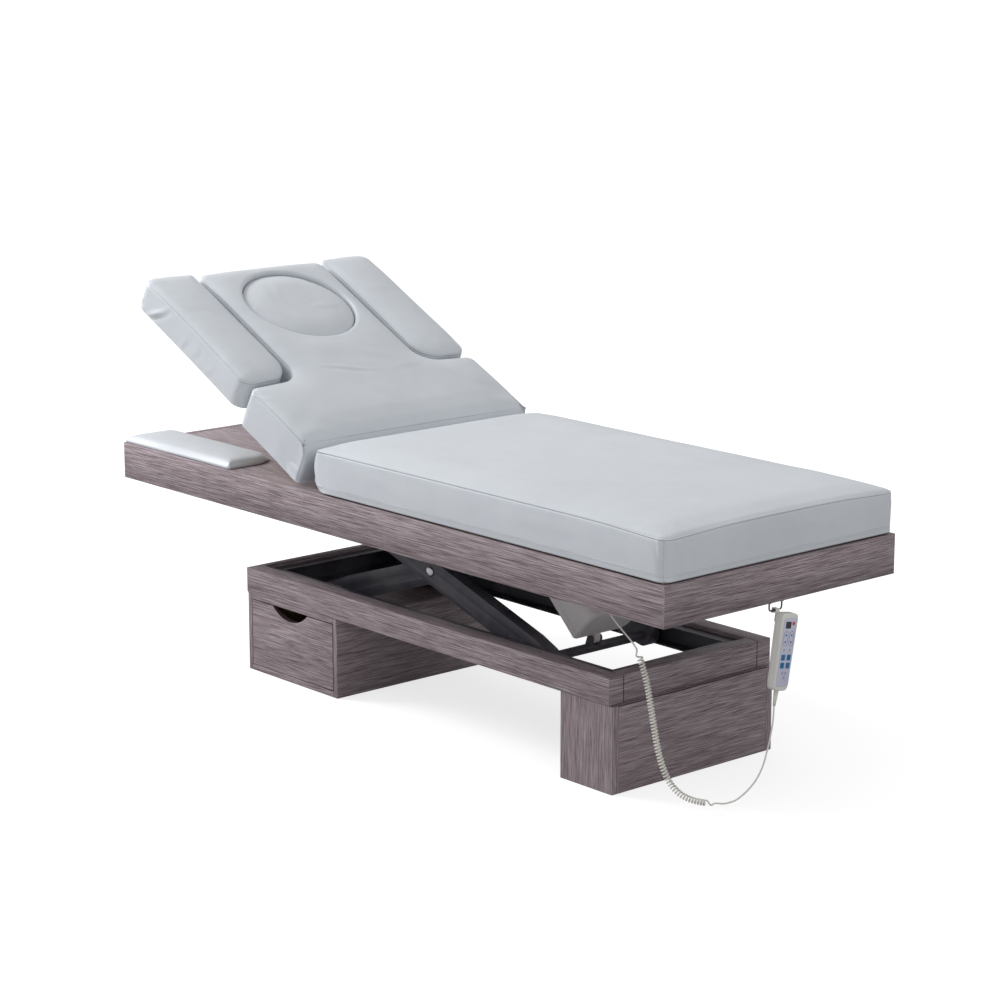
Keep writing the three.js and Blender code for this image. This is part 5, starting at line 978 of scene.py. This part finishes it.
def on_nose(points, nose):
    """1 on the rounded end that faces the next cushion, fading to 0 beyond it."""
    if not nose:
        return np.zeros(len(points))
    run = (points[:, 0] - nose["place"]) * nose["sign"]
    return np.clip(NOSE_SPAN - run / nose["radius"], 0, 1)


def read_vectors(data, name):
    """The places or normals of a mesh's points."""
    values = np.empty(len(data.vertices) * 3, np.float32)
    data.vertices.foreach_get(name, values)
    return values.reshape(-1, 3).astype(float)


def swell(form):
    """How a cloth simulation blows the cover up, in millimetres, capped and evened out."""
    points = np.array(form.points)
    held = form.held()
    data = new_mesh("cover_in_simulation", points * MM, form.faces)
    cover = linked("cover_in_simulation", data)
    group = cover.vertex_groups.new(name="held")
    for share in np.unique(held):
        if share > 0:
            group.add([int(i) for i in np.nonzero(held == share)[0]], float(share), "REPLACE")
    cloth = cover.modifiers.new("cloth", "CLOTH")
    cloth.settings.vertex_group_mass = "held"
    cloth.settings.quality = 4
    cloth.settings.use_pressure = True
    cloth.settings.uniform_pressure_force = CLOTH_PRESSURE
    cloth.settings.effector_weights.gravity = 0
    cloth.point_cache.frame_end = CLOTH_FRAMES
    for frame_number in range(1, CLOTH_FRAMES + 1):
        scene.frame_set(frame_number)
    result = cover.evaluated_get(bpy.context.evaluated_depsgraph_get())
    moved = read_vectors(result.data, "co")
    edges = np.empty(len(data.edges) * 2, np.int32)
    data.edges.foreach_get("vertices", edges)
    scene.frame_set(1)
    bpy.data.objects.remove(cover)
    free = (1 - held)[:, None]
    moves = (moved / MM - points) * free
    top = np.arange(len(points)) >= form.walls * form.size
    cap = np.where(top, TOP_GIVE, WALL_GIVE) * (1 - on_nose(points, form.nose))
    far = np.linalg.norm(moves, axis=1)
    moves *= (np.minimum(far, cap) / np.maximum(far, 1e-6))[:, None]
    a, b = edges.reshape(-1, 2).T
    ties = np.bincount(a, minlength=len(points)) + np.bincount(b, minlength=len(points))
    for _ in range(EVENING_ROUNDS):
        total = moves.copy()
        np.add.at(total, a, moves[b])
        np.add.at(total, b, moves[a])
        moves = total / (ties + 1)[:, None] * free
    return moves


def crease(points, normals, about):
    """A soft fold: a ridge beside a valley, along a line in the cover."""
    middle, way, reach, width, depth = about
    way = np.array(way) / np.linalg.norm(way)
    rel = points - np.array(middle)
    run = rel @ way
    across = np.einsum("ij,ij->i", rel, np.cross(normals, way))
    off = np.einsum("ij,ij->i", rel, normals)
    bend = across + width * CREASE_WANDER * np.sin(run / reach * CREASE_WAVES)
    ridge, valley = (
        np.exp(-(((bend + side * width * CREASE_OFFSET) / width) ** 2)) for side in (-1, 1)
    )
    fold = ridge - CREASE_VALLEY * valley
    return depth * fold * np.exp(-((run / reach) ** 2)) * (np.abs(off) < CREASE_DEPTH)


def droop(points, about):
    """How far the cover is drawn down at its outer corners, from nothing at the underside."""
    drop, reach = about["droop"]
    share = np.clip((points[:, 2] - about["bottom"]) / (about["seam"] - about["bottom"]), 0, 1) ** 2
    pulled = np.zeros(len(points))
    for x, y in about.get("tips", ()):
        far = (points[:, 0] - x) ** 2 + (points[:, 1] - y) ** 2
        pulled = np.maximum(pulled, np.exp(-far / (2 * reach**2)))
    return drop * pulled * share


def unevenness(points):
    """Slow and quick undulation of a filled cover."""
    return np.array([sum(noise.noise(Vector(p) / span) * tall for span, tall in UNEVEN)
                     for p in points])


def applied(name, data, kind, **settings):
    """A mesh with one modifier applied."""
    piece = linked(name, data)
    made = piece.modifiers.new("step", kind)
    for key, value in settings.items():
        setattr(made, key, value)
    result = piece.evaluated_get(bpy.context.evaluated_depsgraph_get())
    new = bpy.data.meshes.new_from_object(result)
    bpy.data.objects.remove(piece)
    return new


def make_cover(name, about):
    """A cushion: its form, swollen, creased, cut for what passes through it, and stitched."""
    form = Form(about)
    points = np.array(form.points)
    points = points + swell(form)
    data = new_mesh(name, points, form.faces)
    data.materials.append(MATERIALS["vinyl"])
    data.materials.append(MATERIALS["seam"])
    # The seams' bottoms take the darker vinyl, painted shade
    marks = np.zeros(len(form.faces), np.int32)
    marks[form.in_seam_shade()] = 1
    data.polygons.foreach_set("material_index", marks)
    data.polygons.foreach_set("use_smooth", [True] * len(form.faces))
    data = applied(name, data, "SUBSURF", subdivision_type="SIMPLE", levels=1)
    places, normals = read_vectors(data, "co"), read_vectors(data, "normal")
    height = places[:, 2]
    top = np.clip((height - form.seam) / (form.rise * TOP_FADE), 0, 1)
    under_seam = np.clip((form.seam - SEAM_CALM - height) / SEAM_FADE, 0, 1)
    over_foot = np.clip((height - about["bottom"]) / FOOT_FADE, 0, 1)
    lift = unevenness(places) * (top + under_seam * over_foot * WALL_SHARE)
    at_end = on_nose(places, form.nose)
    lift = lift * (1 - at_end) - NOSE_SLACK * at_end
    for fold in about.get("creases", ()):
        lift += crease(places, normals, fold)
    outside = normals[:, 2] > UNDERSIDE_FACING
    places[:, 2] -= droop(places, about)
    places += normals * (lift * outside)[:, None]
    place = about["place"]
    data.vertices.foreach_set("co", np.array([tuple(place(p)) for p in places]).ravel())
    data.update()
    if "cuts" in about:
        cutter = cutting_piece(about["cuts"], place)
        data = applied(name, data, "BOOLEAN", operation="DIFFERENCE", object=cutter, solver="EXACT")
        bpy.data.objects.remove(cutter)
    piece = linked(name, data)
    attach(piece, about["body"])
    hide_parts(about["node"])
    if about["groove"]:
        stitch(name, form, data)


def cutting_piece(cuts, place):
    """Blocks and round bars, given as x, y and z ranges or as a bar's x, z, radius and y range."""
    points, faces = [], []
    for kind, *sizes in cuts:
        if kind == "block":
            (x0, x1), ends, (z0, z1) = sizes
            section = [(x0, z0), (x1, z0), (x1, z1), (x0, z1)]
        else:
            (x, z, radius), ends = sizes
            turns = [2 * math.pi * k / BAR_SIDES for k in range(BAR_SIDES)]
            section = [(x + radius * math.cos(t), z + radius * math.sin(t)) for t in turns]
        start, count = len(points), len(section)
        points += [place((x, y, z)) for y in ends for x, z in section]
        faces += bridge(start, start + count, count, True) + caps(start, start + count, count, True)
    return linked("cuts", new_mesh("cuts", points, faces))


# Stitches: small rounded lengths of thread that follow each seam on its upper side
STITCH_PITCH = 6.4
STITCH_HALF = 1.8
STITCH_RADIUS = 0.55
STITCH_SIDE = 2.6
STITCH_ROWS = ((-1.0, 0.35), (-0.7, 0.85), (0.0, 1.0), (0.7, 0.85), (1.0, 0.35))
STITCH_SIDES = 6
STITCH_FLATNESS = 0.8
STITCH_AHEAD = 0.5
STITCH_FROM_ROW = 2


def seam_paths(form):
    """Lines of places along the stitching of a form, in its own frame."""
    about = form.about
    paths = [form.top_ring(STITCH_SIDE)[form.seamed]]
    for column in form.columns:
        line = []
        for ring in form.rings[STITCH_FROM_ROW : form.walls - 1]:
            way = ring[(column + 1) % form.size] - ring[column - 1]
            shift = STITCH_SIDE * way / np.linalg.norm(way)
            line.append(ring[column] + shift * about["stitch_way"][column])
        paths.append(np.array(line))
    if "hem" in about:
        paths.append(form.wall_ring(about["bottom"] + about["hem"], SIDE_BELLY, 0)[form.seamed])
    return paths


def stitch(name, form, data):
    place = form.about["place"]
    tree = BVHTree.FromPolygons([v.co.copy() for v in data.vertices],
                                [tuple(p.vertices) for p in data.polygons])
    points, faces = [], []
    for path in seam_paths(form):
        at = np.arange(STITCH_PITCH / 2, runs(path)[-1], STITCH_PITCH)
        for middle, ahead in zip(places_at(path, at), places_at(path, at + STITCH_AHEAD)):
            spot, normal, _, _ = tree.find_nearest(place(middle))
            way = place(ahead) - place(middle)
            way = (way - normal * way.dot(normal)).normalized()
            side = normal.cross(way)
            for row, (run, share) in enumerate(STITCH_ROWS):
                start = len(points)
                for k in range(STITCH_SIDES):
                    turn = 2 * math.pi * k / STITCH_SIDES
                    radial = side * math.cos(turn) + normal * (math.sin(turn) * STITCH_FLATNESS)
                    offset = way * (run * STITCH_HALF) + radial * (share * STITCH_RADIUS)
                    points.append(spot + offset * MM)
                if row:
                    faces += bridge(start - STITCH_SIDES, start, STITCH_SIDES)
            faces += caps(start - (len(STITCH_ROWS) - 1) * STITCH_SIDES, start, STITCH_SIDES)
    piece = add_mesh(name + "_stitches", points, faces, MATERIALS["thread"], form.about["body"])


def mirrored(corners):
    """The outline on the other side of the bed, still anticlockwise."""
    return [(x, -y, r) for x, y, r in reversed(corners)]


# Descriptions of the covers. Corners are x, y and radius, and counts are the points on the edges
# between them. Points are numbered from the first corner's arc: "seamed" says from which to which
# the top seam runs, and "columns" where an upright seam does. A hollow is the height and the
# insets of the underside's recess, a droop its depth and reach about the tips, and a crease its
# middle, direction, reach, width and height.
ARC = ARC_STEPS + 1
MATTRESS_COUNTS = (92, 54, 92, 30)
MATTRESS_START = 9
MATTRESS_END = 3 * ARC + sum(MATTRESS_COUNTS[:3]) + 3
MATTRESS_FOOT = (ARC + MATTRESS_COUNTS[0] + 6, 2 * ARC + sum(MATTRESS_COUNTS[:2]) + 6)
BACK_COUNTS = (20, 10, 36, 32, 36, 10, 20, 54)
BACK_START = 3
BACK_END = 7 * ARC + sum(BACK_COUNTS[:7]) + 3
PLUG = ((-546.37, 0), (141.97, 145.92))
PLUG_GAP = 0.6
# Passages through the back cushion for the side pads' rods and for the hinge
CUTS = [("bar", (x, -4.7, 6.4), (y, y + 80)) for x in (-368.4, -718.5) for y in (-230, 150)]
CUTS += [("block", (-16.4, 10), (y - 15.4, y + 15.4), (-50, 14.3)) for y in (-245, 245)]
CUTS += [("block", (-58, 10), (-7.4, 7.4), (-50, 11))]
PAD_CORNERS = [(-736.5, -347, 30), (-274.5, -347, 33.8), (-274.5, -200, 72), (-736.5, -200, 15)]
ARM_PAD_CORNERS = [(-963, -348, 8), (-520, -348, 8), (-520, -202, 62), (-963, -202, 8)]
PAD = {
    "node": "side_pad_near", "body": "side_pad_near", "place": backrest_place, "fill": 0.85,
    "counts": (36, 10, 36, 10), "bottom": -11, "edge": 5.0, "seam": 63, "top": 77, "spread": 40,
    "spacing": 8, "groove": 1.0, "hollow": (1.7, [7.6] * 4), "droop": (4.5, 42),
}
NEAR_PAD_CREASES = [
    ((-642, -347, 20), (0.67, 0, 0.74), 34, 7, 3.6),
    ((-662, -347, 4), (0.75, 0, 0.66), 26, 6, 2.6),
    ((-724, -346, 6), (0.6, 0, 0.8), 16, 6, 1.8),
    ((-522, -347, 12), (0.1, 0, 1), 22, 9, 0.9),
    ((-470, -347, 16), (0.25, 0, 1), 24, 10, 0.7),
    ((-405, -347, 8), (0.3, 0, 1), 18, 9, 0.8),
    ((-296, -341, 44), (0, 0, 1), 20, 4, 0.9),
    ((-284, -328, 40), (0, 0, 1), 22, 4, 0.8),
    ((-560, -272, 77), (0.2, 1, 0), 46, 14, 0.4),
    ((-350, -270, 77), (1, 0.5, 0), 40, 14, 0.4),
]
ARM_PAD = {
    "node": "arm_pad_near", "body": "platform", "place": platform_place, "fill": 0.6,
    "counts": (34, 8, 34, 12), "bottom": 527.785, "edge": 2.5, "seam": 533.5, "top": 547.485,
    "spread": 26, "spacing": 8, "groove": 0, "droop": (0, 1),
}
COVERS = {
    "mattress_cushion": {
        "node": "mattress", "body": "platform", "place": platform_place, "fill": 0.85,
        "corners": [(-212, -350, 40), (965, -350, 26), (965, 350, 26), (-212, 350, 40)],
        "counts": MATTRESS_COUNTS, "bottom": 530.485, "edge": 5.0, "seam": 625.485,
        "top": 639.485, "spread": 130, "spacing": 11, "groove": 1.0, "hem": 12,
        "nose": {"edge": 3, "radius": 54.5, "middle": 584.985, "full": True, "place": -212,
                 "sign": 1},
        "seamed": (MATTRESS_START, MATTRESS_END),
        "columns": (MATTRESS_START, MATTRESS_END, *MATTRESS_FOOT),
        "stitch_way": {MATTRESS_START: 1, MATTRESS_END: -1, MATTRESS_FOOT[0]: -1,
                       MATTRESS_FOOT[1]: 1},
        "droop": (7, 95), "tips": [(965, -350), (965, 350)],
        "hollow": (543.2, [11.6, 11.6, 11.6, 55.6]),
        "creases": [
            ((958, -340, 606), (0, 0.3, -1), 24, 5, 1.8),
            ((964, -318, 610), (0, 0.5, -1), 26, 6, 1.6),
            ((944, -349, 604), (0.4, 0, -1), 26, 6, 1.8),
            ((962, 338, 606), (0, -0.3, -1), 26, 6, 1.5),
            ((-176, -350, 590), (0.5, 0, -1), 26, 7, 0.9),
            ((930, -300, 637), (1, -0.6, 0), 34, 10, 0.6),
            ((600, -350, 580), (1, 0, 0.1), 120, 16, 0.5),
            ((100, -350, 570), (1, 0, -0.1), 120, 16, 0.5),
            ((965, 60, 585), (0, 1, 0.05), 110, 16, 0.5),
        ],
    },
    "back_cushion_cover": {
        "node": "back_cushion", "body": "backrest", "place": backrest_place, "fill": 0.8,
        "corners": [(-6.5, 345, 12), (-261.5, 345, 24), (-261.5, 190, 55.8), (-728.5, 190, 24),
                    (-728.5, -190, 24), (-261.5, -190, 55.8), (-261.5, -345, 24), (-6.5, -345, 12)],
        "counts": BACK_COUNTS, "bottom": -35, "edge": 2.5, "seam": 63, "top": 77,
        "spread": 46.5, "spacing": 9, "groove": 1.0,
        "nose": {"edge": 7, "radius": 60, "middle": 17, "full": False, "place": -6.5, "sign": -1},
        "seamed": (BACK_START, BACK_END), "columns": (BACK_START, BACK_END),
        "stitch_way": {BACK_START: 1, BACK_END: -1},
        "droop": (5, 48), "tips": [(-728.5, 190), (-728.5, -190), (-261.5, 345), (-261.5, -345)],
        "hollow": (5.9, [3.6] * 7 + [8.6]),
        "hole": (PLUG[0], (PLUG[1][0] + PLUG_GAP, PLUG[1][1] + PLUG_GAP)), "cuts": CUTS,
        "creases": [
            ((-258, -54, 77), (0.28, 1, 0), 62, 7, 1.3),
            ((-236, 120, 77), (-0.3, 1, 0), 50, 12, 0.6),
            ((-236, -330, 68), (1, 0.4, 0), 20, 6, 0.9),
            ((-205, -338, 70), (1, 1.4, 0), 18, 6, 0.7),
            ((-60, -200, 70), (0.3, 1, 0), 90, 14, 0.6),
            ((-300, 40, 77), (0.2, 1, 0), 90, 18, 0.5),
        ],
    },
    "face_plug_cover": {
        "node": "face_plug", "body": "face_plug", "place": backrest_place, "fill": 0.8,
        "ellipse": PLUG, "bottom": -34.7, "edge": 3.0, "seam": 63, "top": 77, "spread": 40,
        "spacing": 8, "groove": 1.0, "droop": (0, 1),
        "creases": [
            ((-483, 91, 76), (1, 0.05, 0), 40, 10, 0.8),
            ((-512, 57, 77), (-0.2, 1, 0), 40, 12, 0.6),
            ((-600, -44, 77), (1, -0.1, 0), 44, 12, 0.6),
            ((-560, 100, 77), (1, 0.8, 0), 46, 12, 0.5),
            ((-470, -60, 77), (1, 0.7, 0), 40, 14, 0.4),
        ],
    },
    "side_pad_near_cover": {
        **PAD, "corners": PAD_CORNERS, "tips": [(x, y) for x, y, r in PAD_CORNERS],
        "creases": NEAR_PAD_CREASES,
    },
    "side_pad_far_cover": {
        **PAD, "corners": mirrored(PAD_CORNERS), "node": "side_pad_far", "body": "side_pad_far",
        "tips": [(x, -y) for x, y, r in PAD_CORNERS],
        "creases": [((x, -y, z), (a, -b, c), r, w, -d)
                    for (x, y, z), (a, b, c), r, w, d in NEAR_PAD_CREASES],
    },
    "arm_pad_near_cover": {**ARM_PAD, "corners": ARM_PAD_CORNERS},
    "arm_pad_far_cover": {**ARM_PAD, "corners": mirrored(ARM_PAD_CORNERS), "node": "arm_pad_far"},
}
for cover_name, cover_about in COVERS.items():
    make_cover(cover_name, cover_about)


# Handset: its window, keys and outlines stand a hair over the keypad, in its own y and z
KEY_FACE = 13.5
KEY_SINK = 0.15
CIRCLE_STEPS = 28
COLUMN_Y = 8.6
SIDES = (-COLUMN_Y, COLUMN_Y)
KEY_ROWS = (71.5, 54.5)
ARROW_FOOT = 0.42
ARROW_TIP = 0.5
ARROW_ROUND = 1.0


def block_outline(y, z, wide, high, radius, inset=0.0):
    ways = ((-1, -1), (1, -1), (1, 1), (-1, 1))
    corners = [(y + a * wide / 2, z + b * high / 2, radius) for a, b in ways]
    return rounded(corners, [inset] * 4, [0] * 4)


def round_outline(y, z, radius, inset=0.0):
    return ellipse((y, z), (radius, radius), inset, CIRCLE_STEPS)


def arrow_outline(y, z, size, inset=0.0):
    """A triangle that points up, or down where its size is less than 0."""
    corners = [(y - size / 2, z - size * ARROW_FOOT, ARROW_ROUND),
               (y + size / 2, z - size * ARROW_FOOT, ARROW_ROUND),
               (y, z + size * ARROW_TIP, ARROW_ROUND)]
    return rounded(corners, [inset] * 3, [0] * 3)


def plate(outline, *sizes):
    """A shape without an inner outline."""
    return outline(*sizes), None


def hoop(width, outline, *sizes):
    """A shape with an inner outline."""
    return outline(*sizes), outline(*sizes, inset=width)


def raised(name, shapes, material, rise):
    """Low plates, or hoops where a shape has an inner outline, on the handset's face."""
    points, faces = [], []
    for outer, inner in shapes:
        start, count = len(points), len(outer)
        for line in (outer,) if inner is None else (outer, inner):
            for x in (KEY_FACE - KEY_SINK, KEY_FACE + rise):
                points += [handset_point(x, y, z) for y, z in line]
        low, high, low_in, high_in = (start + k * count for k in range(4))
        faces += bridge(low, high, count)
        if inner is None:
            faces += caps(low, high, count)
        else:
            for a, b in ((high_in, low_in), (high, high_in), (low_in, low)):
                faces += bridge(a, b, count)
    piece = add_mesh(
        "handset_" + name, points, faces, MATERIALS[material], "platform", smooth=False
    )


raised("window", [plate(block_outline, -5.2, 140.5, 16, 14.5, 1.4)], "window", 0.3)
raised("stop_key", [plate(round_outline, 9.8, 144, 3.7)], "red_key", 0.7)
raised("square_keys", [plate(block_outline, y, z, 11.6, 12.4, 1.3)
                       for y in SIDES for z in KEY_ROWS], "blue_key", 0.5)
raised("arrows", [plate(arrow_outline, y, z, size)
                  for y in SIDES for z, size in ((119.5, 6.4), (103.5, -6.4))], "blue_key", 0.35)
raised("outlines", [hoop(0.55, block_outline, y, 111.5, 12.8, 31, 5.4) for y in SIDES]
       + [hoop(0.7, round_outline, -COLUMN_Y, 87, 2.7),
          plate(block_outline, COLUMN_Y, 87, 1.2, 6, 0.5)], "ink", 0.25)
raised("small_arrows", [hoop(0.6, arrow_outline, y, z, size)
                        for y, z, size in ((-4.6, 39, 7.0), (4.6, 37, -7.0), (1.6, 28, -7.0))],
       "blue_key", 0.25)
raised("key_marks", [hoop(0.8, round_outline, y, z, 2.6) for y, z in zip(SIDES, KEY_ROWS)]
       + [plate(block_outline, y, z, 5.2, 1.2, 0.4)
          for y, z in ((COLUMN_Y, 70.4), (COLUMN_Y, 73), (-COLUMN_Y, 53.4), (-COLUMN_Y, 56))],
       "ink", 0.62)

# Materials of the frame's own nodes, with the rounds on their edges in millimetres
NODE_FINISH = {
    "top_x": (0.9, ["apron_near", "apron_far", "platform_board"]),
    "top_y": (0.9, ["apron_head", "apron_foot"]),
    "base_x": (1.0, ["ring_rail_near", "ring_rail_far", "cabinet_top", "cabinet_bottom",
                     "cabinet_back"]),
    "drawer": (1.0, ["drawer_front"]),
    "base_y": (1.0, ["ring_rail_head", "ring_rail_foot", "cabinet_side_head",
                     "cabinet_side_foot", "pedestal_foot", "pedestal_head"]),
    "base_z": (1.0, ["pedestal_near", "pedestal_far"]),
    "plywood": (0.6, ["drawer_side_head", "drawer_side_foot", "drawer_back", "drawer_floor",
                      "mattress_board", "back_board"]),
    "steel": (0.8, ["base_frame", "inner_arms", "outer_arms", "platform_frame", "back_frame",
                    "side_pad_carrier_near", "side_pad_carrier_far", "handset_bail"]),
    "chrome": (0, ["cross_bolt_near", "cross_bolt_far", "lift_tube", "lift_rod", "back_rod"]),
    "rubber": (0.6, ["lower_roller_near", "lower_roller_far", "upper_roller_near",
                     "upper_roller_far", "control_box"]),
    "motor": (0.8, ["lift_motor", "back_motor"]),
    "handset": (0.5, ["handset_shell", "handset_clip"]),
    "keypad": (0.2, ["handset_keypad"]),
    "cord": (0, ["cord_relief"]),
}
SMOOTH_ANGLE = math.radians(32)
WELD_REACH = 0.01 * MM


def dress_node(name, material, bevel):
    """Finish of a frame node: shared vertices, small rounds on its edges and smooth curves."""
    piece = nodes[name]
    piece.data.materials.clear()
    piece.data.materials.append(material)
    piece.modifiers.new("weld", "WELD").merge_threshold = WELD_REACH
    if bevel:
        made = piece.modifiers.new("rounds", "BEVEL")
        made.width = bevel * MM
        made.segments = 2
        made.limit_method = "ANGLE"
        made.angle_limit = SMOOTH_ANGLE
        made.use_clamp_overlap = True
        made.harden_normals = True
    piece.data.polygons.foreach_set("use_smooth", [True] * len(piece.data.polygons))


for kind, (bevel, members) in NODE_FINISH.items():
    for member in members:
        dress_node(member, MATERIALS[kind], bevel)


# Dark bands on the ends of the base boards, painted shade that shows as thin dark lines in the gaps
# at their joints
BAND_WIDTH = 2.3 * MM
BAND_PROUD = 0.12 * MM
BAND_SINK = 1.0 * MM
BAND_CLEAR = 0.2 * MM
BOX_FACES = [(0, 1, 3, 2), (4, 6, 7, 5), (0, 4, 5, 1), (2, 3, 7, 6), (0, 2, 6, 4), (1, 5, 7, 3)]


def make_joint_bands():
    """Upright bands on the ring's end rails, and level ones on the boards below it, which paint the
    shade in the gaps at those joints.
    """
    half = BAND_WIDTH / 2
    ring_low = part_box("ring_rail_foot")[0][2]
    boxes = []
    for board, side in (("ring_rail_foot", 1), ("ring_rail_head", -1), ("pedestal_foot", 1),
                        ("cabinet_side_head", -1)):
        low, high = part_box(board)
        face = high[0] if side > 0 else low[0]
        xs = sorted((face - side * BAND_SINK, face + side * BAND_PROUD))
        if board.startswith("ring"):
            boxes += [(xs, (y - half, y + half), (low[2] + half, high[2] - half))
                      for y in (low[1], high[1])]
        else:
            boxes.append((xs, (low[1], high[1]), (ring_low - BAND_WIDTH, ring_low - BAND_CLEAR)))
    points = [(x, y, z) for xs, ys, zs in boxes for x in xs for y in ys for z in zs]
    starts = range(0, len(points), len(points) // len(boxes))
    faces = [[start + i for i in face] for start in starts for face in BOX_FACES]
    piece = add_mesh("joint_shade_bands", points, faces, MATERIALS["gap_shade_band"], "base", smooth=False)


make_joint_bands()


# Floor and light
FLOOR_REACH = 130
FLOOR_DROP = 0.0005
# The world lights the bed with one strength, and the camera sees it and the floor as white
WORLD_STRENGTH = 0.64
SEEN_STRENGTH = 1.0
FLOOR_LIFT = 0.72
LIT_PLACE = (0, 0, 0.5)
# Lights: name, place, diameter and power
LIGHTS = (("key", (-4.0, -2.0, 3.4), 3.0, 205), ("foot fill", (4.6, -1.2, 2.2), 3.0, 14))


def make_room():
    material, t, shader = new_material("pale_floor")
    seen = t.node("ShaderNodeLightPath").outputs["Is Camera Ray"]
    t.feed(shader, {
        "Base Color": linear(188, 188, 189), "Roughness": 0.9, "Specular IOR Level": 0.0,
        "Emission Color": (1, 1, 1, 1), "Emission Strength": t.math("MULTIPLY", seen, FLOOR_LIFT),
    })
    ways = ((-1, -1), (1, -1), (1, 1), (-1, 1))
    corners = [(x * FLOOR_REACH, y * FLOOR_REACH, 0) for x, y in ways]
    data = new_mesh("floor", corners, [(0, 1, 2, 3)])
    data.materials.append(material)
    floor = linked("floor", data)
    floor.location.z = -FLOOR_DROP
    world = bpy.data.worlds.new("studio")
    world.use_nodes = True
    sky = Tree(world.node_tree)
    seen = sky.node("ShaderNodeLightPath").outputs["Is Camera Ray"]
    sky.feed(world.node_tree.nodes["Background"], {
        "Color": (1, 1, 1, 1), "Strength": sky.ramp(seen, 0.0, 1.0, WORLD_STRENGTH, SEEN_STRENGTH),
    })
    scene.world = world
    for name, place, size, power in LIGHTS:
        data = bpy.data.lights.new(name, "AREA")
        data.shape = "DISK"
        data.size = size
        data.energy = power
        aimed(linked(name, data), place, Vector(LIT_PLACE) - Vector(place))


make_room()
scene.view_settings.view_transform = "Standard"
